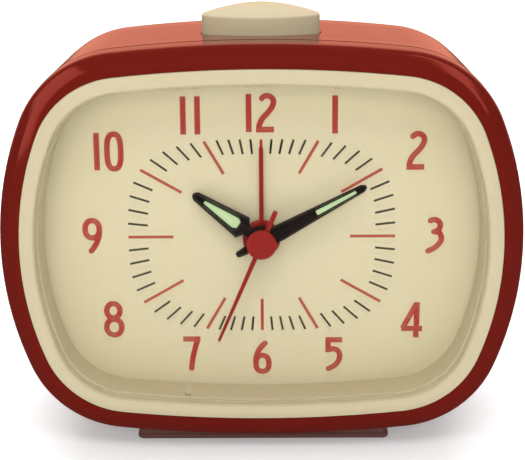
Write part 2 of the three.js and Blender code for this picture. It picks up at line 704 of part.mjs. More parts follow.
function makePositiveContact() {
  const sheet = box(28.4, 28.9, 22, 33, -29.5, -16);
  return join(sheet, bar(1.6, 27.3, 28.6, battery.y, battery.z, 10));
}

function makeNegativeContact() {
  const sheet = box(-28.9, -28.4, 22, 33, -29.5, -16);
  const shape = { startRadius: 4.2, endRadius: 2.2, length: 4.2, turns: 3 };
  const points = coilPoints(shape, (a, b, along) => [-28.4 + along, battery.y + a, battery.z + b]);
  return join(sheet, wire(points, 0.35, 36, 4));
}

function makeBuzzerCup() {
  return cut(rod(buzzer.radius, 30, 37.6, 0, buzzer.z, 20), rod(buzzer.radius - 1.2, 31.2, 39, 0, buzzer.z, 20));
}

function makeBuzzerDisc() {
  return rod(8.4, 31.5, 31.9, 0, buzzer.z, 20);
}

function makeLamp() {
  const body = box(lamp.x - 1.2, lamp.x + 1.2, lamp.y - 1.2, lamp.y + 1.2, -38.3, -36);
  return join(body, post(0.75, -36.2, -35.2, lamp.x, lamp.y, 8));
}

function makePositiveLead() {
  return wire([[30.2, 21.8, -15.8], [30.2, 21.8, -10], [26, 17, -6], [19.9, 13, -5]], 0.45, 12);
}

function makeNegativeLead() {
  return wire([[-30.2, 21.8, -15.8], [-30.2, 21.8, -10], [-26, 17, -6], [-19.9, 13, -5]], 0.45, 12);
}

// ---- assembly ----
const clock = new THREE.Group();
const fromDial = new THREE.Group();
fromDial.position.set(0, -middleY, dialHeight);
clock.add(fromDial);

function add(name, solid, material) {
  const mesh = new THREE.Mesh(toGeometry(solid), material);
  mesh.name = name;
  fromDial.add(mesh);
}

add('front_shell', makeFrontShell(), redPlastic);
add('rear_shell', makeRearShell(), redPlastic);
add('bezel', makeBezel(), creamPlastic);
add('lens', makeLens(), clearPlastic);
add('base_foot', makeFoot(), footPlastic);
caseScrewPlaces().forEach((place, i) => add(`case_screw_${i + 1}`, makeCaseScrew(place), steel));
[-1, 1].forEach((side, i) => add(`foot_screw_${i + 1}`, makeFootScrew(side), steel));

add('snooze_button', makeButton(), creamPlastic);
add('snooze_spring', makeButtonSpring(), steel);
add('button_board', makeButtonBoard(), circuitGreen);
add('tact_switch', makeTactSwitch(), blackPlastic);
add('battery_door', makeBatteryDoor(), redPlastic);
add('alarm_switch', makeSlider(), blackPlastic);
add('time_set_knob', makeKnob(-1, 11.3), blackPlastic);
add('alarm_set_knob', makeKnob(1, 11.3), blackPlastic);

add('dial', makeDial(), dialCard);
add('dial_carrier', makeDialCarrier(), blackPlastic);
[-1, 1].forEach((side, i) => add(`carrier_screw_${i + 1}`, makeSmallScrew(side * 49.3, 0, 2.5, 6), steel));
[-1, 1].forEach((side, i) => add(`movement_screw_${i + 1}`, makeSmallScrew(side * lugX, lugZ, 4, 3), steel));

add('alarm_hand', makeAlarmHand(), redPaint);
add('hour_hand', makeHourHand(), blackPaint);
add('hour_hand_lume', makeLume(hourSlot, handAngle.hour, -3.1, -2.8), lumePaint);
add('minute_hand', makeMinuteHand(), blackPaint);
add('minute_hand_lume', makeLume(minuteSlot, handAngle.minute, -4.5, -4.2), lumePaint);
add('second_hand', makeSecondHand(), redPaint);
add('second_hand_cap', makeCap(), redPaint);

add('movement_front_case', makeMovementFront(), blackPlastic);
add('movement_middle_plate', makeMovementPlate(), naturalPlastic);
add('movement_back_case', makeMovementBack(), blackPlastic);
add('alarm_wheel', makeAlarmWheel(), naturalPlastic);
add('alarm_setting_pinion', makeAlarmPinion(), naturalPlastic);
add('hour_wheel', makeHourWheel(), whitePlastic);
add('cannon_pinion', makeCannonPinion(), brass);
add('time_setting_wheel', makeSettingWheel(), naturalPlastic);
add('centre_wheel', makeCentreWheel(), whitePlastic);
add('third_wheel', makeThirdWheel(), whitePlastic);
add('seconds_wheel', makeSecondsWheel(), whitePlastic);
add('intermediate_wheel', makeIntermediateWheel(), naturalPlastic);
add('rotor', makeRotor(), magnetGrey);

add('stator', makeStator(), steel);
add('coil_core', makeCoilCore(), steel);
add('coil_bobbin', makeCoilBobbin(), blackPlastic);
add('coil_winding', makeCoilWinding(), copper);
add('circuit_board', makeCircuitBoard(), circuitGreen);
add('quartz_crystal', makeCrystal(), steel);
add('alarm_contact', makeAlarmContact(), brass);

add('aa_battery', makeBattery(), batterySleeve);
add('positive_contact', makePositiveContact(), steel);
add('negative_contact', makeNegativeContact(), steel);
add('positive_lead', makePositiveLead(), redPlastic);
add('negative_lead', makeNegativeLead(), blackPlastic);
add('buzzer_cup', makeBuzzerCup(), blackPlastic);
add('buzzer_disc', makeBuzzerDisc(), brass);
add('dial_lamp', makeLamp(), whitePlastic);

export default clock;
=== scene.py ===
# A battery travel alarm clock: its looks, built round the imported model.
import math

import bmesh
import bpy
import numpy as np
from mathutils import Matrix, Vector


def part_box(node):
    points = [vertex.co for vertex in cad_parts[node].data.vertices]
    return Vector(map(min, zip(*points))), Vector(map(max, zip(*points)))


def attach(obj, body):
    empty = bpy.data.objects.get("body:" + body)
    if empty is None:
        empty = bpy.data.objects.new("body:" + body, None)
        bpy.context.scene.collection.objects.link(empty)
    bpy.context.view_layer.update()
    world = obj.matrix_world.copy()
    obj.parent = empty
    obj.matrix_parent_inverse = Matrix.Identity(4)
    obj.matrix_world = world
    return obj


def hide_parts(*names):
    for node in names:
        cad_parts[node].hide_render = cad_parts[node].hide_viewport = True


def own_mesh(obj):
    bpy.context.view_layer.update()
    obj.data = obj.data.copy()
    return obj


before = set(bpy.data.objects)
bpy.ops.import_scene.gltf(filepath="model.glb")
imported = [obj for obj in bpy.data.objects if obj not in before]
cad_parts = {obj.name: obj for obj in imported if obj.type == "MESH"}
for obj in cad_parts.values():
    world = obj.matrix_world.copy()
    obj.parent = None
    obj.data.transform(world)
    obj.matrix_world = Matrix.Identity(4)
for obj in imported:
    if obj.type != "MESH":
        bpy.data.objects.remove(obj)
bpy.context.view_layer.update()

mm = 0.001

# The dial's centre, from the cap of the hands and the front of the dial card.
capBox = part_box("second_hand_cap")
dialX = 0.0
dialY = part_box("dial")[0][1]
dialZ = round((capBox[0][2] + capBox[1][2]) / 2, 5)
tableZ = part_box("base_foot")[0][2]


cameraSet = {
    "place": (3.0, -290.0, 84.42),  # from the dial's centre, mm
    "pitch": 15.97, "yaw": -0.557, "roll": -0.42,  # degrees
    "lens": 97.9, "sensor": 36.0,
}


def addObject(name, data):
    thing = bpy.data.objects.new(name, data)
    bpy.context.scene.collection.objects.link(thing)
    return thing


def makeCamera(s):
    # the view turns by yaw, then pitch, then roll
    pitch, yaw, roll = (math.radians(s[k]) for k in ("pitch", "yaw", "roll"))
    turn = (Matrix.Rotation(roll, 3, "Y") @ Matrix.Rotation(pitch, 3, "X") @ Matrix.Rotation(yaw, 3, "Z"))
    right, ahead, up = turn[0], turn[1], turn[2]
    place = Vector((dialX, dialY, dialZ)) + Vector(s["place"]) * mm
    matrix = Matrix((right, up, -ahead)).transposed().to_4x4()
    matrix.translation = place
    data = bpy.data.cameras.new("camera")
    data.lens = s["lens"]
    data.sensor_width = s["sensor"]
    data.clip_start = 0.01
    camera = addObject("camera", data)
    camera.matrix_world = matrix
    bpy.context.scene.camera = camera


def makeAreaLight(name, s):
    data = bpy.data.lights.new(name, "AREA")
    data.shape = "RECTANGLE"
    data.size, data.size_y = s["size"]
    data.energy = s["power"]
    data.color = s.get("colour", (1, 1, 1))
    light = addObject(name, data)
    direction = Vector(s["target"]) - Vector(s["place"])
    turn = direction.to_track_quat("-Z", "Y").to_matrix().to_4x4()
    light.matrix_world = Matrix.Translation(s["place"]) @ turn
    light.visible_glossy = s.get("inGloss", True)
    light.visible_diffuse = s.get("onMatt", True)


def addNode(tree, kind, inputs=None, **settings):
    # a node with its settings; its inputs are constants or other nodes' outputs
    node = tree.nodes.new(kind)
    for label, value in settings.items():
        setattr(node, label, value)
    for label, value in (inputs or {}).items():
        if isinstance(value, bpy.types.NodeSocket):
            tree.links.new(value, node.inputs[label])
        else:
            node.inputs[label].default_value = value
    return node


def newMaterial(name, inputs):
    # a material with those inputs of its main shader set
    material = bpy.data.materials.new(name)
    material.use_nodes = True
    shader = material.node_tree.nodes["Principled BSDF"]
    for label, value in inputs.items():
        shader.inputs[label].default_value = value
    return material, material.node_tree, shader


def makePaper(name, colour, paintedReflection, glow):
    # plain paper; glossy rays see it as a flat glowing card of another colour, a painted reflection on the
    # clock
    material, tree, shader = newMaterial(name, {
        "Base Color": (*colour, 1), "Roughness": 0.9, "Specular IOR Level": 0.0,
        "Emission Color": (1, 1, 1, 1), "Emission Strength": glow})
    path = addNode(tree, "ShaderNodeLightPath")
    # the colour that glossy rays see: a painted reflection, not the paper's own
    card = addNode(tree, "ShaderNodeEmission", {"Color": (*paintedReflection, 1)})
    mix = addNode(tree, "ShaderNodeMixShader", {
        0: path.outputs["Is Glossy Ray"], 1: shader.outputs[0], 2: card.outputs[0]})
    tree.links.new(mix.outputs[0], tree.nodes["Material Output"].inputs["Surface"])
    return material


stageSet = {
    # floor and wall colours as glossy rays see them are painted reflections: dark in front and salmon behind,
    # to colour the red case's gloss
    "floor": (0.90, 0.90, 0.90), "floorPaintedReflection": (0.06, 0.05, 0.045), "floorGlow": 0.22,
    "wall": (0.90, 0.90, 0.90), "wallPaintedReflection": (1.05, 0.36, 0.235), "wallGlow": 0.8,
    "bend": (0.9, 0.5),  # where the floor starts to rise, and over what radius, m
}


def makeStage(s):
    # a floor that sweeps up into a wall well behind the clock
    start, radius = s["bend"]
    across = np.linspace(-2.0, 2.0, 9)
    turn = np.linspace(0, np.pi / 2, 17)
    floorY = np.array([-1.6, -0.6, 0.0, 0.4, start])
    wallY = np.append(start + radius * np.sin(turn), start + radius)
    wallZ = np.append(radius - radius * np.cos(turn), 1.8)
    for name, y, z in (("floor", floorY, np.zeros(5)), ("wall", wallY, wallZ)):
        paper = makePaper(name + "Paper", s[name], s[name + "PaintedReflection"], s[name + "Glow"])
        shape = (len(y), len(across))
        grid = np.stack([np.broadcast_to(across, shape), np.broadcast_to(y[:, None], shape),
                         np.broadcast_to(tableZ + z[:, None], shape)], axis=-1)
        mesh = bpy.data.meshes.new(name)
        mesh.from_pydata(grid.reshape(-1, 3).tolist(), [], gridFaces(*shape).tolist())
        mesh.polygons.foreach_set("use_smooth", np.ones(len(mesh.polygons), dtype=bool))
        mesh.materials.append(paper)
        piece = addObject(name, mesh)


lightSet = {
    "overhead": {"place": (0.0, 0.30, 0.85), "target": (0, 0.05, 0.05), "size": (1.1, 0.7), "power": 6.6,
                 "inGloss": False},
    "frontLight": {"place": (-0.05, -0.92, 0.36), "target": (0, 0, 0.05), "size": (0.7, 0.4), "power": 3.6,
                   "inGloss": False},
    "highLight": {"place": (0.0, -0.55, 0.80), "target": (0, 0, 0.05), "size": (0.7, 0.4), "power": 3.2,
                  "inGloss": False},
    "leftSoftbox": {"place": (-0.62, -0.24, 0.40), "target": (0, 0, 0.06), "size": (0.38, 0.72), "power": 2.9,
                    "colour": (1, 0.5, 0.43), "onMatt": False},
    "rightSoftbox": {"place": (0.50, -0.16, 0.60), "target": (0, 0, 0.06), "size": (0.12, 0.85), "power": 1.3,
                     "colour": (1, 0.5, 0.43), "onMatt": False},
}
worldSet = {"light": 0.38, "inGloss": 0.05}


def makeLights(lights, surround):
    bpy.context.scene.view_settings.view_transform = "Standard"
    for name, s in lights.items():
        makeAreaLight(name, s)
    world = bpy.data.worlds.new("world")
    world.use_nodes = True
    tree = world.node_tree
    light = tree.nodes["Background"]
    light.inputs["Color"].default_value = (1, 1, 1, 1)
    path = addNode(tree, "ShaderNodeLightPath")
    strength = addNode(tree, "ShaderNodeMapRange", {
        "Value": path.outputs["Is Glossy Ray"], "To Min": surround["light"], "To Max": surround["inGloss"]})
    tree.links.new(strength.outputs["Result"], light.inputs["Strength"])
    bpy.context.scene.world = world


def gridFaces(rows, columns, wrapRows=False, wrapColumns=False):
    # one quad for each cell of a grid of rows by columns
    i = np.arange(rows if wrapRows else rows - 1)
    j = np.arange(columns if wrapColumns else columns - 1)
    i, j = np.meshgrid(i, j, indexing="ij")
    nextI, nextJ = (i + 1) % rows, (j + 1) % columns
    corners = (i * columns + j, nextI * columns + j, nextI * columns + nextJ, i * columns + nextJ)
    return np.stack(corners, axis=-1).reshape(-1, 4)


def cleanMesh(mesh, sharpAngle):
    work = bmesh.new()
    work.from_mesh(mesh)
    bmesh.ops.remove_doubles(work, verts=work.verts, dist=2e-6)
    bmesh.ops.dissolve_degenerate(work, edges=work.edges, dist=1e-7)
    bmesh.ops.recalc_face_normals(work, faces=work.faces)
    for edge in work.edges:
        edge.smooth = len(edge.link_faces) != 2 or edge.calc_face_angle(0.0) < math.radians(sharpAngle)
    for face in work.faces:
        face.smooth = True
    work.to_mesh(mesh)
    work.free()


def fromDial(points):
    # millimetres from the dial's centre to metres in the frame
    return np.asarray(points) * mm + np.array([dialX, dialY, dialZ])


def makeSolid(name, parts, material, sharpAngle=35):
    # parts are (vertices, faces) in mm from the dial's centre, joined into one mesh in metres
    mesh = bpy.data.meshes.new(name)
    vertices, faces, first = [], [], 0
    for partVertices, partFaces in parts:
        flat = fromDial(np.reshape(partVertices, (-1, 3)))
        vertices.append(flat)
        faces += [[v + first for v in face] for face in partFaces]
        first += len(flat)
    mesh.from_pydata(np.concatenate(vertices).tolist(), [], faces)
    cleanMesh(mesh, sharpAngle)
    mesh.materials.append(material)
    return addObject(name, mesh)


def makePiece(name, parts, slot, replaced=(), body="case", material=None, sharpAngle=35):
    # the piece rides its body and stands in for the CAD nodes it replaces
    piece = makeSolid(name, parts, material or materials[slot], sharpAngle)
    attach(piece, body)
    if replaced:
        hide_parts(*replaced)
    return piece


ringShape = {
    "halfWidth": 54.3, "halfHeight": 42.15, "topRadius": 282.0, "sideRadius": 70.7, "cornerRadius": 22.5,
}
bezelShape = {
    "halfWidth": 49.75, "halfHeight": 37.3, "topRadius": 280.0, "sideRadius": 64.8, "cornerRadius": 19.0,
}
buttonShape = {
    "halfWidth": 12.5, "halfHeight": 7.0, "topRadius": 17.5, "sideRadius": 9.0, "cornerRadius": 2.8,
}
ringToBezel = 4.6  # the bezel's edge lies this far inside the ring's
ringDrop = 0.3  # the case sits this much lower than the dial's centre


def cornerCentre(s):
    # the corner circle touches the top arc and the side arc from inside, so its centre lies where two
    # circles about their centres cross, each smaller by the corner's radius
    topZ = s["halfHeight"] - s["topRadius"]
    sideX = s["halfWidth"] - s["sideRadius"]
    fromTop, fromSide = s["topRadius"] - s["cornerRadius"], s["sideRadius"] - s["cornerRadius"]
    between = math.hypot(sideX, topZ)
    along = (fromTop ** 2 - fromSide ** 2 + between ** 2) / (2 * between)
    across = math.sqrt(fromTop ** 2 - along ** 2)
    ux, uz = sideX / between, -topZ / between
    return np.array([ux * along + uz * across, topZ + uz * along - ux * across])


def softOutline(s, counts=(14, 24, 26)):
    # four long arcs joined by four corner arcs that touch them: every point is its arc's centre plus
    # its radius times the unit normal; returns the points and the normals, anticlockwise
    side = np.array([s["halfWidth"] - s["sideRadius"], 0.0])
    top = np.array([0.0, s["halfHeight"] - s["topRadius"]])
    corner = cornerCentre(s)
    sideEnd = math.atan2(corner[1], corner[0] - side[0])
    topEnd = math.atan2(corner[1] - top[1], corner[0])
    stretches = (
        (side, s["sideRadius"], 0.0, sideEnd, counts[0], False),
        (corner, s["cornerRadius"], sideEnd, topEnd, counts[1], False),
        (top, s["topRadius"], topEnd, math.pi / 2, counts[2], True),
    )
    points, normals = [], []
    for centre, radius, start, end, count, last in stretches:
        angle = np.linspace(start, end, count + (1 if last else 0), endpoint=last)
        normal = np.stack([np.cos(angle), np.sin(angle)], axis=-1)
        points.append(centre + radius * normal)
        normals.append(normal)
    points, normals = np.concatenate(points), np.concatenate(normals)
    mirrorX, mirrorZ = np.array([-1.0, 1.0]), np.array([1.0, -1.0])
    upper = [np.concatenate([a, (a * mirrorX)[-2::-1]]) for a in (points, normals)]
    return [np.concatenate([a, (a * mirrorZ)[-2:0:-1]]) for a in upper]


ringLine, ringNormal = softOutline(ringShape)
ringLine = ringLine - np.array([0, ringDrop])
bezelLine, bezelNormal = softOutline(bezelShape)
buttonLine, buttonNormal = softOutline(buttonShape, (10, 12, 14))


def roundCorners(points, radii, steps=6, closed=True):
    # each corner of a profile becomes an arc that touches both of its sides
    points = np.asarray(points, dtype=float)
    count = len(points)
    out = []
    for i in range(count):
        radius = radii[i] if np.ndim(radii) else radii
        before, here, after = points[i - 1], points[i], points[(i + 1) % count]
        if radius <= 0 or (not closed and i in (0, count - 1)):
            out.append(here[None])
            continue
        toBefore, toAfter = before - here, after - here
        lengths = np.linalg.norm(toBefore), np.linalg.norm(toAfter)
        a, b = toBefore / lengths[0], toAfter / lengths[1]
        half = math.acos(np.clip(a @ b, -1, 1)) / 2
        reach = min(radius / math.tan(half), 0.49 * min(lengths))
        radius = reach * math.tan(half)
        centre = here + (a + b) / np.linalg.norm(a + b) * radius / math.sin(half)
        start, end = here + a * reach - centre, here + b * reach - centre
        sweep = math.atan2(start[0] * end[1] - start[1] * end[0], start @ end)
        t = np.linspace(0, sweep, steps)[:, None]
        turned = np.stack([-start[1], start[0]])
        out.append(centre + start * np.cos(t) + turned * np.sin(t))
    return np.concatenate(out)


def carry(line, normal, profile, plane="dial"):
    # a profile carried round an outline: the point is the outline's point less inset times its normal,
    # and the profile's second value is the depth; profile rows are (inset, depth)
    inset, depth = profile[:, 0][:, None, None], profile[:, 1][:, None]
    flat = line[None] - inset * normal[None]
    depth = np.broadcast_to(depth, flat.shape[:2])
    order = (flat[..., 0], depth, flat[..., 1]) if plane == "dial" else (flat[..., 0], flat[..., 1], depth)
    return np.stack(order, axis=-1)


def carryShell(profile):
    # as carry, but the outline passes from the ring's to the bezel's as the inset grows
    inset, depth = profile[:, 0][:, None, None], profile[:, 1][:, None]
    mix = np.clip((inset - 0.6) / (ringToBezel - 0.9), 0, 1)
    ring = ringLine[None] - inset * ringNormal[None]
    bezel = bezelLine[None] - (inset - ringToBezel) * bezelNormal[None]
    flat = ring * (1 - mix) + bezel * mix
    return np.stack([flat[..., 0], np.broadcast_to(depth, flat.shape[:2]), flat[..., 1]], axis=-1)


def gridPart(grid, wrapRows=False):
    # rings of points joined into a solid: the last ring meets the first, or else both ends are capped
    rows, columns = grid.shape[:2]
    faces = gridFaces(rows, columns, wrapRows, wrapColumns=True).tolist()
    if not wrapRows:
        faces.append(list(range(columns)))
        faces.append(list(range((rows - 1) * columns, rows * columns)))
    return grid, faces


def turned(profile, count=48):
    # a profile of (radius, depth) turned about the hands' axis
    angle = np.linspace(0, 2 * np.pi, count, endpoint=False)
    radius, depth = profile[:, 0][:, None], profile[:, 1][:, None]
    depth = np.broadcast_to(depth, (len(profile), count))
    return np.stack([radius * np.cos(angle), depth, radius * np.sin(angle)], axis=-1)


def blockPart(x0, x1, y0, y1, z0, z1, radius=0.0, bevel=0.0, axis="y"):
    # a block whose outline is a rounded rectangle, carried along one axis with bevelled ends
    spans = {"y": ((x0, x1), (z0, z1), (y0, y1)), "z": ((x0, x1), (y0, y1), (z0, z1))}[axis]
    (a0, a1), (b0, b1), (d0, d1) = spans
    corners = np.array([[a0, b0], [a1, b0], [a1, b1], [a0, b1]])
    middle = corners.mean(axis=0)
    rows = []
    for inset, depth in ((bevel, d0), (0, d0 + bevel), (0, d1 - bevel), (bevel, d1)):
        moved = corners - np.sign(corners - middle) * inset
        line = roundCorners(moved, max(radius - inset, 0.0), 6) if radius > 0 else moved
        rows.append(np.column_stack([line[:, 0], np.full(len(line), depth), line[:, 1]]))
    grid = np.stack(rows)
    if bevel <= 0:
        grid = grid[[0, -1]]
    if axis == "z":
        grid = grid[..., [0, 2, 1]]
    return gridPart(grid)


plainCutter = bpy.data.materials.new("cutter")


def cutAway(piece, parts, operation="DIFFERENCE"):
    # cuts each part from the piece, or joins it on, and drops the cutters
    cutters = [makeSolid("cutter", [part], plainCutter) for part in parts]
    for cutter in cutters:
        modifier = piece.modifiers.new("cut", "BOOLEAN")
        modifier.operation = operation
        modifier.solver = "EXACT"
        modifier.object = cutter
    result = piece.evaluated_get(bpy.context.evaluated_depsgraph_get())
    mesh = bpy.data.meshes.new_from_object(result)
    old = piece.data
    piece.modifiers.clear()
    piece.data = mesh
    mesh.name = piece.name
    bpy.data.meshes.remove(old)
    for cutter in cutters:
        bpy.data.objects.remove(cutter)


def newGroup(name, inputs, outputs):
    group = bpy.data.node_groups.new(name, "ShaderNodeTree")
    for label, kind, value in inputs:
        socket = group.interface.new_socket(label, in_out="INPUT", socket_type=kind)
        socket.default_value = value
    for label, kind in outputs:
        group.interface.new_socket(label, in_out="OUTPUT", socket_type=kind)
    return group, group.nodes.new("NodeGroupInput"), group.nodes.new("NodeGroupOutput")


def addNoise(group, scale, detail):
    place = addNode(group, "ShaderNodeTexCoord")
    noise = addNode(group, "ShaderNodeTexNoise", {
        "Vector": place.outputs["Object"], "Scale": scale, "Detail": detail})
    return noise.outputs["Fac"]


def aboutBase(group, noise, amount, base):
    # the base plus the amount times the noise about zero
    centred = addNode(group, "ShaderNodeMath", {0: noise, 1: 0.5}, operation="SUBTRACT")
    moved = addNode(group, "ShaderNodeMath", {0: centred.outputs[0], 1: amount, 2: base},
                    operation="MULTIPLY_ADD")
    return moved.outputs[0]


def makeToneDrift():
    # lightens and darkens a colour by slow noise: colour times one plus amount times the noise about zero
    group, given, out = newGroup(
        "toneDrift",
        [("Color", "NodeSocketColor", (0.5, 0.5, 0.5, 1)), ("Scale", "NodeSocketFloat", 60.0),
         ("Amount", "NodeSocketFloat", 0.1)],
        [("Color", "NodeSocketColor")],
    )
    gain = aboutBase(group, addNoise(group, given.outputs["Scale"], 3.0), given.outputs["Amount"], 1.0)
    scaled = addNode(group, "ShaderNodeVectorMath", {0: given.outputs["Color"], "Scale": gain},
                     operation="SCALE")
    group.links.new(scaled.outputs[0], out.inputs["Color"])
    return group


def makeMouldedGrain():
    # fine noise for bump height, and slower noise that moves the roughness about its base
    group, given, out = newGroup(
        "mouldedGrain",
        [("Scale", "NodeSocketFloat", 900.0), ("Roughness", "NodeSocketFloat", 0.3),
         ("Spread", "NodeSocketFloat", 0.1)],
        [("Height", "NodeSocketFloat"), ("Roughness", "NodeSocketFloat")],
    )
    group.links.new(addNoise(group, given.outputs["Scale"], 2.0), out.inputs["Height"])
    rough = aboutBase(group, addNoise(group, 70.0, 4.0), given.outputs["Spread"], given.outputs["Roughness"])
    group.links.new(rough, out.inputs["Roughness"])
    return group


def makePaintedRimShade():
    # a painted shade mask, standing in for the bezel's shadow on the card, that grows from the middle of the
    # dial to its rim: the length of x and z over the half sizes
    group, given, out = newGroup(
        "paintedRimShade",
        [("Start", "NodeSocketFloat", 0.7), ("End", "NodeSocketFloat", 1.1)],
        [("Mask", "NodeSocketFloat")],
    )
    halfWidth, halfHeight = bezelShape["halfWidth"] * mm, bezelShape["halfHeight"] * mm
    place = addNode(group, "ShaderNodeTexCoord")
    mapping = addNode(group, "ShaderNodeMapping", {
        "Vector": place.outputs["Object"], "Scale": (1 / halfWidth, 0.0, 1 / halfHeight),
        "Location": (0.0, 0.0, -dialZ / halfHeight)})
    length = addNode(group, "ShaderNodeVectorMath", {0: mapping.outputs[0]}, operation="LENGTH")
    ramp = addNode(group, "ShaderNodeMapRange", {
        "Value": length.outputs["Value"], "From Min": given.outputs["Start"],
        "From Max": given.outputs["End"]}, interpolation_type="SMOOTHSTEP")
    group.links.new(ramp.outputs["Result"], out.inputs["Mask"])
    return group


toneDrift = makeToneDrift()
mouldedGrain = makeMouldedGrain()
paintedRimShade = makePaintedRimShade()


def addGroup(material, group, **values):
    return addNode(material.node_tree, "ShaderNodeGroup", values, node_tree=group)


def makeMaterial(name, s):
    # s: colour, drift (scale, amount), rough, spread, grain (scale, height in mm), bump, and where it has
    # them metal, specular, tint and glow
    inputs = {
        "Metallic": s.get("metal", 0.0), "Specular IOR Level": s.get("specular", 0.5),
        "Specular Tint": (*s.get("tint", (1, 1, 1)), 1)}
    if "glow" in s:
        inputs.update({"Emission Color": (*s["colour"], 1), "Emission Strength": s["glow"]})
    material, tree, shader = newMaterial(name, inputs)
    drift = addGroup(material, toneDrift, Color=(*s["colour"], 1), Scale=s["drift"][0], Amount=s["drift"][1])
    tree.links.new(drift.outputs["Color"], shader.inputs["Base Color"])
    grain = addGroup(material, mouldedGrain, Scale=s["grain"][0], Roughness=s["rough"], Spread=s["spread"])
    tree.links.new(grain.outputs["Roughness"], shader.inputs["Roughness"])
    bump = addNode(tree, "ShaderNodeBump", {
        "Height": grain.outputs["Height"], "Strength": s["bump"], "Distance": s["grain"][1] * mm})
    tree.links.new(bump.outputs["Normal"], shader.inputs["Normal"])
    return material


def makeDialCard(s):
    # painted shade: the card's cream turns a little darker towards its rim, standing in for the bezel's
    # shadow
    material = makeMaterial("dialCard", s)
    tree = material.node_tree
    base = tree.nodes["Principled BSDF"].inputs["Base Color"]
    mask = addGroup(material, paintedRimShade, Start=s["rim"][0], End=s["rim"][1])
    mix = addNode(tree, "ShaderNodeMix", {
        "Factor": mask.outputs["Mask"], "A": base.links[0].from_socket, "B": (*s["paintedShadeColour"], 1)},
        data_type="RGBA")
    tree.links.new(mix.outputs["Result"], base)
    return material


lensFinish = {
    "rough": 0.03, "ior": 1.49, "edgeBlend": 0.25,
    "body": (0.97, 0.985, 0.97), "edge": (0.30, 0.26, 0.16),  # seen straight on, and along the surface
    "bodyAlpha": 0.04, "edgeAlpha": 0.6,
}


def makeLensMaterial(s):
    # clear plastic: seen straight on it lets the light by, and it shows at its edges
    material, tree, shader = newMaterial("clearLens", {
        "Roughness": s["rough"], "IOR": s["ior"], "Transmission Weight": 1.0})
    facing = addNode(tree, "ShaderNodeLayerWeight", {"Blend": s["edgeBlend"]})
    alpha = addNode(tree, "ShaderNodeMapRange", {
        "Value": facing.outputs["Facing"], "To Min": s["bodyAlpha"], "To Max": s["edgeAlpha"]})
    # it shows only straight to the camera, so that the dial keeps its light
    path = addNode(tree, "ShaderNodeLightPath")
    seen = addNode(tree, "ShaderNodeMath", {0: alpha.outputs["Result"], 1: path.outputs["Is Camera Ray"]},
                   operation="MULTIPLY")
    tree.links.new(seen.outputs["Value"], shader.inputs["Alpha"])
    mix = addNode(tree, "ShaderNodeMix", {
        "Factor": facing.outputs["Facing"], "A": (*s["body"], 1), "B": (*s["edge"], 1)}, data_type="RGBA")
    tree.links.new(mix.outputs["Result"], shader.inputs["Base Color"])
    return material


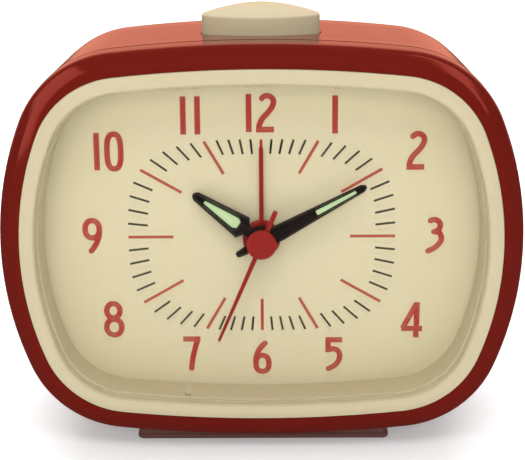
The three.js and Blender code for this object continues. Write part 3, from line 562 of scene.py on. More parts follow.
materials = {
    "red_plastic": makeMaterial("redGloss", {
        "colour": (0.125, 0.0085, 0.005), "drift": (35, 0.10), "rough": 0.13, "spread": 0.06,
        "grain": (700, 0.008), "bump": 0.10, "tint": (1, 0.32, 0.26)}),
    # the foot: satin red plastic whose colour is darkened and browned, partly its own colour and partly
    # painted shade from the case above
    "foot_plastic": makeMaterial("redSatinPaintedShade", {
        "colour": (0.14, 0.060, 0.049), "drift": (60, 0.2), "rough": 0.38, "spread": 0.15,
        "grain": (1400, 0.03), "bump": 0.3}),
    "cream_plastic": makeMaterial("creamPlastic", {
        "colour": (0.515, 0.445, 0.288), "drift": (45, 0.06), "rough": 0.34, "spread": 0.12,
        "grain": (1200, 0.015), "bump": 0.2, "specular": 0.25}),
    "dial_card": makeDialCard({
        "colour": (0.585, 0.52, 0.335), "drift": (30, 0.05), "rough": 0.62, "spread": 0.1,
        # the rim span and its colour are painted shade from the bezel over the card's edge
        "grain": (2200, 0.01), "bump": 0.25, "rim": (0.8, 1.2), "paintedShadeColour": (0.56, 0.50, 0.315)}),
    "clear_lens": makeLensMaterial(lensFinish),
    "black_paint": makeMaterial("blackPaint", {
        "colour": (0.010, 0.0075, 0.007), "drift": (120, 0.3), "rough": 0.6, "spread": 0.15,
        "grain": (1800, 0.008), "bump": 0.25, "specular": 0.2}),
    "red_paint": makeMaterial("redPaint", {
        "colour": (0.25, 0.012, 0.008), "drift": (120, 0.2), "rough": 0.38, "spread": 0.15,
        "grain": (1600, 0.01), "bump": 0.25, "tint": (1, 0.5, 0.45)}),
    "lume": makeMaterial("lumePaint", {
        "colour": (0.42, 0.55, 0.29), "drift": (900, 0.2), "rough": 0.75, "spread": 0.1,
        "grain": (3000, 0.03), "bump": 0.5, "glow": 0.04}),
    "black_plastic": makeMaterial("blackPlastic", {
        "colour": (0.022, 0.022, 0.024), "drift": (90, 0.3), "rough": 0.42, "spread": 0.18,
        "grain": (1500, 0.03), "bump": 0.4}),
    "white_plastic": makeMaterial("naturalPlastic", {
        "colour": (0.70, 0.69, 0.62), "drift": (80, 0.1), "rough": 0.4, "spread": 0.15,
        "grain": (1300, 0.02), "bump": 0.3}),
    "steel": makeMaterial("platedSteel", {
        "colour": (0.52, 0.53, 0.55), "drift": (200, 0.2), "rough": 0.3, "spread": 0.2,
        "grain": (2500, 0.01), "bump": 0.3, "metal": 1.0}),
    "brass": makeMaterial("plainBrass", {
        "colour": (0.60, 0.42, 0.15), "drift": (150, 0.2), "rough": 0.32, "spread": 0.2,
        "grain": (2200, 0.01), "bump": 0.3, "metal": 1.0}),
    "copper": makeMaterial("enamelledCopper", {
        "colour": (0.50, 0.19, 0.08), "drift": (400, 0.3), "rough": 0.35, "spread": 0.2,
        "grain": (3500, 0.05), "bump": 0.6, "metal": 0.9}),
    "circuit_green": makeMaterial("circuitGreen", {
        "colour": (0.02, 0.12, 0.05), "drift": (200, 0.4), "rough": 0.4, "spread": 0.2,
        "grain": (1500, 0.03), "bump": 0.4}),
    "cell_sleeve": makeMaterial("cellSleeve", {
        "colour": (0.05, 0.07, 0.11), "drift": (50, 0.2), "rough": 0.22, "spread": 0.1,
        "grain": (600, 0.02), "bump": 0.2, "metal": 0.2}),
    "magnet": makeMaterial("magnet", {
        "colour": (0.07, 0.07, 0.08), "drift": (300, 0.3), "rough": 0.5, "spread": 0.2,
        "grain": (2500, 0.02), "bump": 0.4, "metal": 0.6}),
}
printRed = makeMaterial("printRed", {
    "colour": (0.37, 0.026, 0.013), "drift": (200, 0.12), "rough": 0.55, "spread": 0.1,
    "grain": (2500, 0.006), "bump": 0.3})
printBlack = makeMaterial("printBlack", {
    "colour": (0.012, 0.009, 0.003), "drift": (200, 0.3), "rough": 0.55, "spread": 0.1,
    "grain": (2500, 0.006), "bump": 0.3})


# the red ring round the front
ringSet = {
    "profile": [(0.12, -0.3), (0, -0.8), (0, -6.75), (2.6, -9.05), (4.55, -10.0), (4.55, -7.7), (6.3, -7.7),
                (6.3, -6.2), (3.1, -6.2), (3.1, 1.6), (2.4, 1.6), (2.4, -0.3)],  # inset and depth
    "radii": [0.0, 0.1, 2.6, 6.0, 0.12, 0.0, 0.0, 0.0, 0.0, 0.0, 0.0, 0.0],
    "screwInset": 4.6, "post": (1.9, -6.6, 7.7),  # radius, front and back
    "bossX": 49.3, "boss": (2.0, -6.6, 0.5), "around": 24,
}


def screwPlaces():
    # the four screws stand on the corner arcs' diagonals
    reach = (ringShape["cornerRadius"] - ringSet["screwInset"]) * math.sqrt(0.5)
    x, z = cornerCentre(ringShape) + reach
    return [(x, z), (-x, z), (-x, -z), (x, -z)]


def rodPart(radius, y0, y1, x, z, count=32):
    # a circle carried along the depth
    return gridPart(turned(np.array([(radius, y0), (radius, y1)]), count) + np.array([x, 0, z]))


def postPart(radius, z0, z1, x, y, count=32):
    # a circle carried upwards
    grid = turned(np.array([(radius, z0), (radius, z1)]), count)[..., [0, 2, 1]] + np.array([x, y, 0])
    return gridPart(grid)


def straightPart(line, normal, inset, ends, plane="dial", shift=(0, 0, 0)):
    # an outline, moved in by the inset, carried straight from one end to the other
    profile = np.array([(inset, end) for end in ends])
    return gridPart(carry(line, normal, profile, plane) + np.array(shift))


def centredBlock(x, z, halfX, halfZ, y0, y1, radius=0.0, bevel=0.0):
    # a block about a point of the dial's plane, from one depth to another
    return blockPart(x - halfX, x + halfX, y0, y1, z - halfZ, z + halfZ, radius, bevel)


def makeRing(s):
    profile = roundCorners(s["profile"], s["radii"], 9)
    parts = [gridPart(carryShell(profile), wrapRows=True)]
    parts += [rodPart(*s["post"], x, z, s["around"]) for x, z in screwPlaces()]
    parts += [rodPart(*s["boss"], side * s["bossX"], 0, s["around"]) for side in (-1, 1)]
    makePiece("frontRing", parts, "red_plastic", ["front_shell"])


# the cream bezel with the step that holds the lens
bezelSet = {  # the profile's inset and depth, and a window's x, depth and z, each from and to
    "profile": [(0.0, -8), (0.0, -10.0), (1.5, -10.5), (2.85, -10.3), (3.15, -9.7), (3.15, -7.4),
                (3.55, -7.4), (3.75, -0.05), (2.6, -0.05), (2.6, -6.6), (2.1, -7.2), (2.1, -8)],
    "radii": [0.1, 0.4, 1.8, 0.45, 0.2, 0.05, 0.15, 0.1, 0.0, 0.0, 0.0, 0.0],
    "lampWindow": (-16.6, -15.3, -6.6, -5.3, -36, -32),
}


def makeBezel(s):
    profile = roundCorners(s["profile"], s["radii"], 7)
    part = gridPart(carry(bezelLine, bezelNormal, profile), wrapRows=True)
    piece = makePiece("creamBezel", [part], "cream_plastic", ["bezel"])
    cutAway(piece, [blockPart(*s["lampWindow"])])


lensSet = {
    "inset": 3.22, "back": -7.45, "backInset": 8.0,  # the flange and the flat back
    "rise": 3.6, "step": -8.3, "front": -9.5,  # the raised middle
    "crownInset": 4.3, "crownDrop": 0.1, "dome": 0.35, "steps": 10,
}


def makeLens(s):
    # the front is a shallow dome: depth is the edge's less the dome times one minus the share squared
    edgeDepth = s["front"] - s["crownDrop"]
    corners = [(s["backInset"], s["back"]), (s["inset"], s["back"]), (s["inset"], s["step"]),
               (s["rise"], s["step"]), (s["rise"], s["front"]), (s["crownInset"], edgeDepth)]
    edge = roundCorners(corners, [0, 0.05, 0.05, 0.05, 0.2, 0], 5, closed=False)
    rows = carry(bezelLine, bezelNormal, edge)
    share = np.linspace(1, 0, s["steps"] + 1)[1:-1]
    front = np.empty((len(share),) + rows[-1].shape)
    front[..., [0, 2]] = rows[-1][:, [0, 2]] * share[:, None, None]
    front[..., 1] = (edgeDepth - s["dome"] * (1 - share ** 2))[:, None]
    part = gridPart(np.concatenate([rows, front]))
    makePiece("frontLens", [part], "clear_lens", ["lens"], sharpAngle=50)


# the printed dial
dialSet = {
    "inset": 3.2, "thick": 0.5, "hole": 2.9,
    "print": (-0.035, 0.02),  # from and to what depth the ink goes
    "layer": 0.002, "loopLayer": 0.003,  # each next stroke stands prouder, and loops more so
    "track": {"halfWidth": 28.2, "halfHeight": 21.0, "power": 3.3},
    "minute": {"inner": 0.852, "width": 0.46},
    "hour": {"inner": 0.662, "width": 0.62},
    "stroke": 1.2,
}
glyphs = {
    "bar": [[(0, 4.0), (0, -4.0)]],
    "2": [[(-1.23, 2.54), (-0.6, 3.35), (0.3, 3.6), (1.2, 3.15), (1.52, 2.3), (1.14, 1.16), (0.4, 0.15),
           (-0.75, -1.1), (-1.38, -2.3), (-1.64, -3.55)], [(-2.15, -3.5), (1.6, -3.5)]],
    "3": [[(-1.24, 2.92), (-0.55, 3.42), (0.25, 3.5), (1.05, 3.05), (1.33, 2.39), (1.06, 1.45), (0.3, 0.95),
           (-0.6, 0.85)],
          [(-0.6, 0.85), (0.3, 0.88), (1.1, 0.65), (1.61, -0.25), (1.5, -1.1), (1.0, -1.9), (0.0, -2.8),
           (-1.7, -3.59)]],
    "4": [[(1.12, 4.0), (0.95, -4.0)], [(1.0, 3.75), (-1.95, -1.95)], [(-2.2, -1.92), (2.3, -2.02)]],
    "5": [[(-1.75, 3.4), (1.86, 3.4)], [(-1.2, 3.4), (-1.2, 0.55)],
          [(-1.2, 0.8), (-0.7, 1.22), (-0.1, 1.32), (0.7, 1.05), (1.25, 0.4), (1.36, -0.35), (1.0, -1.5),
           (0.1, -2.6), (-1.63, -3.5)]],
    "6": [[(1.08, 3.47), (0.3, 2.85), (-0.45, 1.98), (-1.06, 0.85), (-1.42, -0.5), (-1.44, -1.5)]],
    "7": [[(-1.89, 3.4), (1.85, 3.4)], [(1.32, 3.4), (0.95, 2.3), (0.5, 0.65), (0.11, -1.13), (-0.25, -3.9)]],
    "9": [[(1.55, 1.68), (1.5, 0.5), (1.1, -0.85), (0.4, -2.2), (-0.7, -3.55)]],
}
loops = {  # centre x, centre z, half width, half height, power
    "6": [(0, -1.55, 1.43, 1.85, 2.2)],
    "8": [(-0.08, 1.95, 1.42, 1.6, 2.1), (0, -1.78, 1.63, 1.78, 2.1)],
    "9": [(0.05, 1.68, 1.5, 1.9, 2.2)],
    "0": [(0, 0, 1.43, 3.7, 2.8)],
}
numbers = [
    ([("bar", -2.38), ("2", 1.27)], (-0.14, 26.56)),
    ([("bar", 0)], (15.35, 26.15)),
    ([("2", 0)], (32.41, 18.45)),
    ([("3", 0)], (36.37, 0.01)),
    ([("4", 0)], (32.1, -18.81)),
    ([("5", 0)], (15.37, -26.7)),
    ([("6", 0)], (-0.04, -27.13)),
    ([("7", 0)], (-15.24, -26.4)),
    ([("8", 0)], (-31.92, -18.41)),
    ([("9", 0)], (-35.88, 0.08)),
    ([("bar", -2.3), ("0", 1.3)], (-31.95, 18.56)),
    ([("bar", -1.48), ("bar", 1.48)], (-14.63, 26.11)),
]


def smoothPath(points, count, closed=False):
    # a Catmull-Rom curve through the points, then points spaced evenly along its length
    points = np.asarray(points, dtype=float)
    if len(points) > 2 or closed:
        if closed:
            ends = points[-1:], points[:2]
        else:
            ends = 2 * points[:1] - points[1:2], 2 * points[-1:] - points[-2:-1]
        p = np.concatenate([ends[0], points, ends[1]])
        t = np.linspace(0, 1, 12, endpoint=False)[None, :, None]
        a, b, c, d = (p[i:len(p) - 3 + i, None, :] for i in range(4))
        curve = 0.5 * (2 * b + (c - a) * t + (2 * a - 5 * b + 4 * c - d) * t ** 2
                       + (3 * b - a - 3 * c + d) * t ** 3)
        curve = curve.reshape(-1, points.shape[1])
        points = curve if closed else np.concatenate([curve, p[-2:-1]])
    if closed:
        points = np.concatenate([points, points[:1]])
    steps = np.concatenate([[0], np.cumsum(np.linalg.norm(np.diff(points, axis=0), axis=1))])
    even = np.linspace(0, steps[-1], count, endpoint=not closed)
    path = np.stack([np.interp(even, steps, points[:, i]) for i in range(points.shape[1])], axis=-1)
    return path, steps[-1]


def strokePart(points, width, y0, y1, closed=False, roundEnds=False):
    # a flat band: each side is the path plus or minus half the width along its normal; at a round end the
    # half width falls as a circle's does over the last half width
    half = width / 2
    path, length = smoothPath(points, 40, closed)
    if closed:
        tangent = np.roll(path, -1, axis=0) - np.roll(path, 1, axis=0)
    else:
        tangent = np.gradient(path, axis=0)
    tangent /= np.linalg.norm(tangent, axis=1)[:, None]
    normal = np.stack([-tangent[:, 1], tangent[:, 0]], axis=-1)
    reach = np.full(len(path), half)
    if roundEnds:
        fan = half * (1 - np.cos(np.linspace(0, np.pi / 2, 7)))
        along = np.concatenate([fan, np.linspace(half, length - half, 30)[1:-1], length - fan[::-1]])
        even = np.linspace(0, length, len(path))
        path = np.stack([np.interp(along, even, path[:, i]) for i in range(2)], axis=-1)
        normal = np.stack([np.interp(along, even, normal[:, i]) for i in range(2)], axis=-1)
        fromEnd = np.clip(np.minimum(along, length - along), 0, half)
        reach = np.maximum(np.sqrt(half ** 2 - (half - fromEnd) ** 2), 0.02)
    left, right = path + normal * reach[:, None], path - normal * reach[:, None]
    grid = np.empty((len(path), 4, 3))
    for column, (side, depth) in enumerate(((left, y0), (right, y0), (right, y1), (left, y1))):
        grid[:, column, 0] = side[:, 0]
        grid[:, column, 1] = depth
        grid[:, column, 2] = side[:, 1]
    return gridPart(grid, wrapRows=closed)


def loopPoints(x, z, halfWidth, halfHeight, power, count=28):
    # a rounded loop: |x/a|^p + |z/b|^p = 1
    angle = np.linspace(0, 2 * np.pi, count, endpoint=False)
    c, d = np.cos(angle), np.sin(angle)
    reach = (np.abs(c / halfWidth) ** power + np.abs(d / halfHeight) ** power) ** (-1 / power)
    return np.stack([x + reach * c, z + reach * d], axis=-1)


def trackReach(angle, track):
    # how far the minute track lies from the centre in that direction
    p = track["power"]
    across = np.abs(np.sin(angle) / track["halfWidth"])
    upward = np.abs(np.cos(angle) / track["halfHeight"])
    return (across ** p + upward ** p) ** (-1 / p)


def makeCard(s):
    outer = bezelLine - s["inset"] * bezelNormal
    radius = np.linalg.norm(outer, axis=1)
    hole = outer / radius[:, None] * s["hole"]
    share = np.linspace(0, 1, 9)[:, None, None]
    flat = outer * (1 - share) + hole * share
    front = np.stack([flat[..., 0], np.zeros(flat.shape[:2]), flat[..., 1]], axis=-1)
    back = front[::-1] + np.array([0, s["thick"], 0])
    part = gridPart(np.concatenate([front, back]), wrapRows=True)
    makePiece("dialCard", [part], "dial_card", ["dial"])


def makeTicks(s):
    for kind, slot, material in (("hour", "red_paint", printRed), ("minute", "black_paint", printBlack)):
        parts = []
        for k in range(60):
            if (k % 5 == 0) != (kind == "hour"):
                continue
            angle = math.radians(6 * k)
            reach = float(trackReach(angle, s["track"]))
            direction = np.array([math.sin(angle), math.cos(angle)])
            ends = [direction * reach * s[kind]["inner"], direction * reach]
            parts.append(strokePart(ends, s[kind]["width"], *s["print"]))
        makePiece(kind + "Ticks", parts, slot, material=material)


def makeNumbers(s):
    front, back = s["print"]
    parts = []
    for figures, (x, z) in numbers:
        for figure, shift in figures:
            place = (x + shift, z)
            for i, stroke in enumerate(glyphs.get(figure, [])):
                parts.append(strokePart(np.array(stroke) + place, s["stroke"], front - s["layer"] * i, back,
                                        roundEnds=len(stroke) > 2))
            for i, loop in enumerate(loops.get(figure, [])):
                depth = front - s["loopLayer"] - s["layer"] * i
                parts.append(strokePart(loopPoints(*loop) + place, s["stroke"], depth, back, closed=True))
    makePiece("dialNumbers", parts, "red_paint", material=printRed)


# the hands: pairs are distance along the hand and half width
handSet = {
    "alarm": {"angle": 0.0, "blade": [(-2, 0.45), (19.3, 0.45), (19.6, 0.3)], "y": (-1.75, -1.3),
              "hub": 4.0, "hubBack": -0.9, "paint": "red_paint", "body": "alarm_arbor"},
    "hour": {"angle": 305.3, "blade": [(-1, 1.1), (3.8, 1.1), (4.8, 2.6), (16.7, 1.0), (17.4, 0.3)],
             "slot": [(5.8, 0.8), (6.7, 1.28), (14.6, 0.36)], "y": (-3.15, -2.7), "hub": 3.1, "hubBack": -2.3,
             "paint": "black_paint", "body": "hour_arbor"},
    "minute": {"angle": 61.3,
               "blade": [(-6, 0.4), (-5.6, 0.65), (0, 1.3), (4.1, 1.8), (23.9, 0.82), (24.8, 0.3)],
               "slot": [(13, 0.58), (22.4, 0.36)], "y": (-4.55, -4.1), "hub": 2.7, "hubBack": -3.7,
               "paint": "black_paint", "body": "minute_arbor"},
    "second": {"angle": 203.2, "blade": [(-7.7, 0.3), (-7.5, 0.5), (2, 0.5), (23, 0.3), (23.3, 0.2)],
               "y": (-5.95, -5.5), "hub": 1.8, "hubBack": -5.0, "paint": "red_paint", "body": "second_arbor"},
}
capSet = {
    "profile": [(0.001, -6.95), (1.2, -6.95), (2.5, -6.9), (3.12, -6.7), (3.12, -6.2), (0.001, -6.2)],
    "radii": [0, 0.4, 0.5, 0.15, 0.05, 0],
}
lumeSet = {"gap": 0.06, "sunk": 0.06, "fromBack": 0.02, "bevel": 0.05}


def bladeLine(halves, degrees):
    # the hand's outline: along the hand by the first value, across it by the second
    angle = math.radians(degrees)
    along = np.array([math.sin(angle), math.cos(angle)])
    across = np.array([math.cos(angle), -math.sin(angle)])
    halves = np.array(halves)
    right = halves[:, :1] * along + halves[:, 1:] * across
    left = (halves[:, :1] * along - halves[:, 1:] * across)[::-1]
    return np.concatenate([right, left])


def insetLine(line, amount):
    # each corner moves inwards along the mean of its sides' normals, so far that the sides stay parallel
    before, after = line - np.roll(line, 1, axis=0), np.roll(line, -1, axis=0) - line
    before /= np.linalg.norm(before, axis=1)[:, None]
    after /= np.linalg.norm(after, axis=1)[:, None]
    area = np.sum(line[:, 0] * np.roll(line[:, 1], -1) - np.roll(line[:, 0], -1) * line[:, 1])
    turn = np.sign(area)
    n0 = np.stack([-before[:, 1], before[:, 0]], axis=-1) * turn
    n1 = np.stack([-after[:, 1], after[:, 0]], axis=-1) * turn
    mean = n0 + n1
    mean /= np.sum(mean * n1, axis=1)[:, None]
    length = np.linalg.norm(mean, axis=1)
    mean *= np.minimum(1, 2.0 / length)[:, None]
    return line + mean * amount


def platePart(line, y0, y1, bevel=0.08):
    # the outline at the back, the outline just short of the front, and a smaller one at the front
    rows = ((line, y1), (line, y0 + bevel), (insetLine(line, bevel), y0))
    return gridPart(np.stack([np.insert(flat, 1, depth, axis=1) for flat, depth in rows]))


def makeHands(hands, lume):
    for name, s in hands.items():
        y0, y1 = s["y"]
        line = roundCorners(bladeLine(s["blade"], s["angle"]), 0.12, 4)
        blade = makePiece(name + "Hand", [platePart(line, y0, y1)], s["paint"], [name + "_hand"], s["body"],
                          sharpAngle=30)
        if "slot" in s:
            slot = roundCorners(bladeLine(s["slot"], s["angle"]), 0.2, 4)
            cutAway(blade, [platePart(slot, y0 - 1, y1 + 0.5, 0.01)])
            fill = platePart(insetLine(slot, lume["gap"]), y0 + lume["sunk"], y1 - lume["fromBack"],
                             lume["bevel"])
            makePiece(name + "Lume", [fill], "lume", [name + "_hand_lume"], s["body"])
        corners = [(0, y0), (s["hub"], y0), (s["hub"], s["hubBack"]), (0, s["hubBack"])]
        hub = turned(roundCorners(corners, [0, 0.12, 0.05, 0], 5, closed=False)[1:-1])
        part = gridPart(hub - np.array([0, 0.02, 0]))  # just proud of the blade
        makePiece(name + "Hub", [part], s["paint"], body=s["body"])


def makeHandCap(s):
    profile = roundCorners(s["profile"], s["radii"], 6, closed=False)
    part = gridPart(turned(profile, 64))
    makePiece("handCap", [part], "red_paint", ["second_hand_cap"], "second_arbor")


# the red back shell
rearSet = {
    "outer": [(6.5, 40.0), (0.95, 40.0), (0.6, 30), (0.15, 5), (0.02, 0.12)],  # inset and depth
    "outerRadii": [0, 2.6, 30, 10, 0.25],
    "inner": [(2.15, 0.12), (3.2, 36.6), (4.4, 38.0), (6.5, 38.0)],
    "inside": 38.5, "beyond": 41,  # depths just within the back wall, and clear of it
    "bay": (29.5, -33.3, -14.7, 20.0, 1.5),  # half length, low, high, front, wall
    "bayLedge": (1.5, 1.2, 38.4),  # how much longer and higher the door's recess is, and its floor
    "panel": (20.0, -7.0, 14.0, 37.5, 2),  # half width, low, high, floor, wall
    "post": (2.8, 8), "headHole": (1.7, 12), "screwHole": (1.05, 7, 13),  # radius, then from and to
    "footPost": (2.8, -40.5, -34), "footHole": (0.95, -43, -35.5), "shaftHole": (1.5, 35, 38),
    "footScrew": (18.0, 9.0), "shaft": (9.4, 3.412), "buttonY": 13.0, "buttonHole": (-0.3, 35.0, 45.0),
    "slider": (33.0, 0.4, 5.0), "sliderSlot": (1.8, 4, 37, 1.2),  # half sizes, front, corner radius
    "soundZ": 26.5, "soundRows": (-4.8, -1.6, 1.6, 4.8), "soundSlot": (7, 0.8, 37, 41, 0.75),
    "guides": ((14, 16.5, 11, 15, 27, 40), (12, 16.5, 11, 15, 27, 28.7)),  # beside the button, to each side
    "contactSlot": (28.6, 32, 21, 22.6, -16.6, -12),
}


def sideBlock(side, x0, x1, *rest):
    # a block at that distance to the left (side -1) or to the right (side 1)
    return blockPart(*sorted((side * x0, side * x1)), *rest)


def makeRear(s):
    outer = roundCorners(s["outer"], s["outerRadii"], 9, closed=False)
    profile = np.concatenate([outer, s["inner"]])
    part = gridPart(carry(ringLine, ringNormal, profile))
    piece = makePiece("rearShell", [part], "red_plastic", ["rear_shell"])
    inside, beyond = s["inside"], s["beyond"]
    half, low, high, front, wall = s["bay"]
    panelHalf, panelLow, panelHigh, floor, panelWall = s["panel"]
    longer, higher, ledge = s["bayLedge"]
    footX, footY = s["footScrew"]
    added = [
        blockPart(-half - wall, half + wall, front - wall, inside, low - wall, high + wall, 1.5),
        blockPart(-panelHalf - panelWall, panelHalf + panelWall, floor - panelWall, inside,
                  panelLow - panelWall, panelHigh + panelWall, 2.5),
    ]
    added += [rodPart(*s["post"], inside, x, z) for x, z in screwPlaces()]
    added += [postPart(*s["footPost"], side * footX, footY) for side in (-1, 1)]
    added += [sideBlock(side, *guide) for side in (-1, 1) for guide in s["guides"]]
    removed = [
        blockPart(-half, half, front, beyond, low, high, 0.6),
        blockPart(-half - longer, half + longer, ledge, beyond, low - higher, high + higher, 1.5),
        blockPart(-panelHalf, panelHalf, floor, beyond, panelLow, panelHigh, 2.0),
    ]
    x, z, travel = s["slider"]
    slotX, slotZ, slotFront, slotRadius = s["sliderSlot"]
    removed.append(blockPart(x - slotX, x + slotX, slotFront, beyond, z - slotZ, z + travel + slotZ,
                             slotRadius))
    removed += [rodPart(*s["headHole"], beyond, x, z) for x, z in screwPlaces()]
    removed += [rodPart(*s["screwHole"], x, z) for x, z in screwPlaces()]
    removed += [postPart(*s["footHole"], side * footX, footY, 16) for side in (-1, 1)]
    removed += [rodPart(*s["shaftHole"], side * s["shaft"][0], s["shaft"][1]) for side in (-1, 1)]
    removed += [centredBlock(0, s["soundZ"] + row, *s["soundSlot"]) for row in s["soundRows"]]
    inset, *ends = s["buttonHole"]
    removed.append(straightPart(buttonLine, buttonNormal, inset, ends, "top", (0, s["buttonY"], 0)))
    removed += [sideBlock(side, *s["contactSlot"]) for side in (-1, 1)]
    cutAway(piece, added, "UNION")
    cutAway(piece, removed)
    cleanMesh(piece.data, 32)


# the foot under the case
footSet = {
    "halfWidth": 27.4, "front": -2.0, "back": 34.0, "low": -45.5, "step": -44.25, "top": -38.0,
    "setBack": 0.3, "overlap": 0.2, "radius": 1.3, "edge": 0.3, "upperEdge": 0.05,
    "caseGap": 0.08, "screwHoles": ((2.2, -47, -43.6), (1.1, -44, -38)),  # radius, low and high
}


def makeFoot(s):
    half, inset, front, back = s["halfWidth"], s["setBack"], s["front"], s["back"]
    plate = blockPart(-half, half, front, back, s["low"], s["step"], s["radius"], s["edge"], "z")
    upper = blockPart(-half + inset, half - inset, front + inset, back - inset, s["step"] - s["overlap"],
                      s["top"], s["radius"], s["upperEdge"], "z")
    piece = makePiece("baseFoot", [plate], "foot_plastic", ["base_foot"])
    room = straightPart(ringLine, ringNormal, -s["caseGap"], (front - 1, back + 1))
    x, y = rearSet["footScrew"]
    holes = [postPart(*hole, side * x, y) for side in (-1, 1) for hole in s["screwHoles"]]
    cutAway(piece, [upper], "UNION")
    cutAway(piece, [room] + holes)
    cleanMesh(piece.data, 32)


# the button on top
buttonSet = {
    "side": [(0, 38.4), (0, 45.35), (1.2, 45.95)], "radii": [0, 0.6, 0],  # inset and height
    "apex": 47.9, "crownPower": 1.8, "flange": (-1.1, 37.6, 38.8), "stem": (1.8, 33.4, 38.0), "travel": 1.6,
}


def makeButton(s):
    # the top rises from its edge as one minus the share of the outline to the crown's power
    y = rearSet["buttonY"]
    profile = roundCorners(s["side"], s["radii"], 7, closed=False)[:-1]
    rows = carry(buttonLine, buttonNormal, profile, "top")
    last = rows[-1]
    share = np.linspace(1, 0, 16)[1:-1]
    crown = np.empty((len(share),) + last.shape)
    crown[..., :2] = last[:, :2] * share[:, None, None]
    crown[..., 2] = (last[0, 2] + (s["apex"] - last[0, 2]) * (1 - share ** s["crownPower"]))[:, None]
    cap = np.concatenate([rows, crown]) + np.array([0, y, 0])
    inset, *ends = s["flange"]
    parts = [gridPart(cap),
             straightPart(buttonLine, buttonNormal, inset, ends, "top", (0, y, 0)),
             postPart(*s["stem"], 0, y)]
    makePiece("topButton", parts, "cream_plastic", ["snooze_button"], "snooze_bar", sharpAngle=40)


def helixPart(radii, length, turns, wire, place, steps=180, around=10):
    # a round wire along a coil: the centre line is radius times cosine and sine of the turn, rising evenly
    t = np.linspace(0, 1, steps)
    angle = t * turns * 2 * np.pi
    radius = radii[0] + (radii[1] - radii[0]) * t
    centre = np.stack([radius * np.cos(angle), radius * np.sin(angle), length * t], axis=-1)
    tangent = np.gradient(centre, axis=0)
    tangent /= np.linalg.norm(tangent, axis=1)[:, None]
    outward = np.stack([np.cos(angle), np.sin(angle), np.zeros(steps)], axis=-1)
    up = np.cross(tangent, outward)
    turn = np.linspace(0, 2 * np.pi, around, endpoint=False)[:, None]
    ring = np.cos(turn)[None] * outward[:, None] + np.sin(turn)[None] * up[:, None]
    return gridPart(place(centre[:, None] + wire * ring))


springSet = {
    "buttonCoil": ((3.4, 3.4), 6.3, 4, 0.3), "buttonFoot": 30.9,  # radii, length, turns and wire
    "cellCoil": ((4.2, 2.2), 4.2, 3, 0.35), "cellPlace": (-28.4, 27.6, -24),
    "cellSheet": (-28.9, -28.4, 22, 33, -29.5, -16),
}


def makeSprings(s):
    y = rearSet["buttonY"]
    part = helixPart(*s["buttonCoil"], lambda p: p + np.array([0, y, s["buttonFoot"]]))
    spring = makePiece("buttonSpring", [part], "steel", ["snooze_spring"], sharpAngle=60)
    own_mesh(spring)
    coil = helixPart(*s["cellCoil"], lambda p: p[..., [2, 0, 1]] + np.array(s["cellPlace"]))
    sheet = blockPart(*s["cellSheet"])
    makePiece("negativeSpring", [sheet, coil], "steel", ["negative_contact"], sharpAngle=60)


# the cell: a turned profile of distance along X and radius
cellSet = {
    "profile": [(-23.5, 0.01), (-23.5, 6.4), (-23.1, 7.1), (25.2, 7.1), (25.6, 6.4), (25.6, 2.8), (26.9, 2.6),
                (27.0, 0.01)],
    "radii": [0, 0.3, 0.4, 0.4, 0.3, 0.2, 0.3, 0], "y": 27.6, "z": -24.0,
}


def makeCell(s):
    profile = roundCorners(s["profile"], s["radii"], 5, closed=False)
    grid = turned(profile[:, ::-1], 56)[..., [1, 0, 2]] + np.array([0, s["y"], s["z"]])
    makePiece("cell", [gridPart(grid)], "cell_sleeve", ["aa_battery"])


# the battery door
doorSet = {
    "halfLength": 30.7, "front": 38.7, "back": 40.0, "low": -34.2, "high": -13.8, "radius": 1.4, "edge": 0.25,
    "ribX": (-14, 14), "ribHalf": 0.8, "rib": (36.4, 39, -32.3, -15.7, 0.3),  # depths, heights, corner radius
    "gripHalf": 5, "beyond": 41, "gripFloor": 39.3, "grip": (3.4, 1.2, 1.05),  # drops, corner radius
    "grooveFloor": 39.75, "groove": (5.2, 4.8, 0.15), "grooveStep": 1.1,
}


def makeDoor(s):
    high, half, beyond = s["high"], s["gripHalf"], s["beyond"]
    plate = blockPart(-s["halfLength"], s["halfLength"], s["front"], s["back"], s["low"], high, s["radius"],
                      s["edge"])
    piece = makePiece("batteryDoor", [plate], "red_plastic", ["battery_door"], "back_door")
    ribs = [blockPart(x - s["ribHalf"], x + s["ribHalf"], *s["rib"]) for x in s["ribX"]]
    low, top, radius = s["grip"]
    grooveLow, grooveTop, grooveRadius = s["groove"]
    removed = [blockPart(-half, half, s["gripFloor"], beyond, high - low, high - top, radius)]
    for i in range(3):
        drop = s["grooveStep"] * i
        removed.append(blockPart(-half, half, s["grooveFloor"], beyond, high - grooveLow - drop,
                                 high - grooveTop - drop, grooveRadius))
    cutAway(piece, ribs, "UNION")
    cutAway(piece, removed)
    cleanMesh(piece.data, 32)


# the alarm switch: half width, half height, front, back, corner radius and bevel of its blocks
sliderSet = {
    "cap": (2.8, 3.4, 40.3, 41.5, 0.8, 0.3), "neck": (1.4, 3, 37.4, 40.5, 0.8),
    "plate": (3.4, 4.2, 36.2, 37.6, 0.6), "groove": (3.5, 0.35, 41.05, 42, 0.1), "grooveRows": (-2, 0, 2),
}


def makeSlider(s):
    x, z = rearSet["slider"][:2]
    piece = makePiece("alarmSlider", [centredBlock(x, z, *s["cap"])], "black_plastic", ["alarm_switch"],
                      "alarm_slider")
    cutAway(piece, [centredBlock(x, z, *s[key]) for key in ("neck", "plate")], "UNION")
    cutAway(piece, [centredBlock(x, z + row, *s["groove"]) for row in s["grooveRows"]])
    cleanMesh(piece.data, 32)


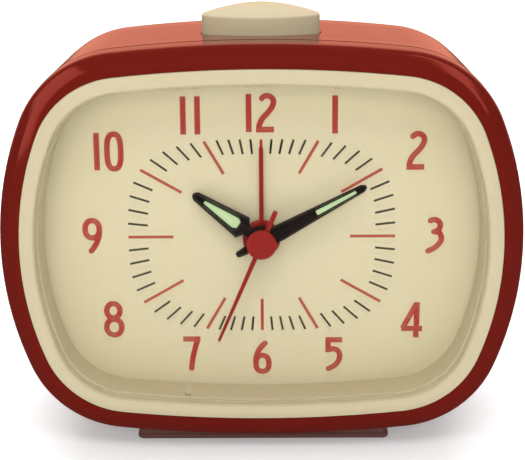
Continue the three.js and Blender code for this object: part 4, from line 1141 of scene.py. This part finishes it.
# the setting knobs
knobSet = {
    "teeth": 24, "tip": 6.35, "depth": 0.5, "sharpness": 0.8,
    "front": 38.2, "back": 42.0, "edge": 0.45, "stem": (1.1, 11.3, 39),  # radius, front and back
    "dish": [(0, 5.3), (0.35, 5.0), (0.35, 0.8), (0.35, 0.01)],  # distance from the back, and radius
    "pointerHalf": 0.45, "pointerZ": (1.0, 4.6), "pointerY": (0.4, 0.02),
}


def makeKnobs(s):
    # the radius dips between teeth: tip less depth times a raised cosine of the angle
    angle = np.linspace(0, 2 * np.pi, s["teeth"] * 8, endpoint=False)
    scallop = s["tip"] - s["depth"] * (0.5 - 0.5 * np.cos(angle * s["teeth"])) ** s["sharpness"]
    back = s["back"]
    rim = [(s["front"], 0), (back - s["edge"], 0), (back - 0.1, s["edge"] * 0.6)]
    radii = np.stack([scallop - inset for _, inset in rim]
                     + [np.full(len(angle), radius) for _, radius in s["dish"]])
    depths = np.array([depth for depth, _ in rim] + [back - drop for drop, _ in s["dish"]])
    depths = np.broadcast_to(depths[:, None], radii.shape)
    grid = np.stack([radii * np.cos(angle), depths, radii * np.sin(angle)], axis=-1)
    half = s["pointerHalf"]
    deep, proud = s["pointerY"]
    low, high = s["pointerZ"]
    for side, name, node, body in ((-1, "timeKnob", "time_set_knob", "time_setter"),
                                   (1, "alarmKnob", "alarm_set_knob", "alarm_setter")):
        x, z = side * rearSet["shaft"][0], rearSet["shaft"][1]
        parts = [gridPart(grid + np.array([x, 0, z])), rodPart(*s["stem"], x, z),
                 blockPart(x - half, x + half, back - deep, back - proud, z + low, z + high, 0.4, 0.1)]
        makePiece(name, parts, "black_plastic", [node], body, sharpAngle=28)


# the screws: the head's and the shank's radius and depth, then the cross's half sizes, start and end
screwSet = {
    "case": {"head": [(0.01, 12.3), (1.5, 12.3), (1.5, 13.7), (0.01, 14.0)], "radii": [0, 0, 0.4, 0],
             "around": 32, "shank": [(0.8, 2), (0.8, 12.5)], "cross": (0.9, 0.25, 13.3, 15)},
    "foot": {"head": [(0.01, -45.1), (1.9, -44.9), (1.9, -43.9), (0.01, -43.9)], "radii": [0, 0.4, 0, 0],
             "around": 40, "shank": [(0.8, -44), (0.8, -36.5)], "cross": (1.1, 0.28, -46, -44.5)},
}


def makeScrew(name, node, s, place, order):
    # order says which of across, along the screw and across again lies along x, y and z
    head = turned(roundCorners(s["head"], s["radii"], 5, closed=False), s["around"])
    shank = turned(np.array(s["shank"]), 32)
    parts = [gridPart(grid[..., order] + place) for grid in (head, shank)]
    piece = makePiece(name, parts, "steel", [node])
    long, short, start, end = s["cross"]
    cross = []
    for a, b in ((long, short), (short, long)):
        spans = np.array([(-a, a), (start, end), (-b, b)])[order] + place[:, None]
        cross.append(blockPart(*spans.ravel()))
    cutAway(piece, cross)


def makeScrews(sets):
    footX, footY = rearSet["footScrew"]
    casePlaces = [(x, 0, z) for x, z in screwPlaces()]
    footPlaces = [(-footX, footY, 0), (footX, footY, 0)]
    for kind, places, order in (("case", casePlaces, [0, 1, 2]), ("foot", footPlaces, [0, 2, 1])):
        for i, place in enumerate(places, 1):
            makeScrew(f"{kind}Screw{i}", f"{kind}_screw_{i}", sets[kind], np.array(place), order)


def finishCarriedNodes():
    # every CAD node takes the material of its record slot
    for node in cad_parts.values():
        slot = node.data.materials[0].name.split(".")[0]
        for i in range(len(node.material_slots)):
            node.material_slots[i].material = materials[slot]


print("camera, floor and lights")
makeCamera(cameraSet)
makeStage(stageSet)
makeLights(lightSet, worldSet)
print("case")
makeRing(ringSet)
makeBezel(bezelSet)
makeLens(lensSet)
makeRear(rearSet)
makeFoot(footSet)
print("dial and hands")
makeCard(dialSet)
makeTicks(dialSet)
makeNumbers(dialSet)
makeHands(handSet, lumeSet)
makeHandCap(capSet)
print("button, door, knobs and switch")
makeButton(buttonSet)
makeSprings(springSet)
makeCell(cellSet)
makeDoor(doorSet)
makeSlider(sliderSet)
makeKnobs(knobSet)
makeScrews(screwSet)
print("materials of the inner parts")
finishCarriedNodes()
bpy.data.materials.remove(plainCutter)
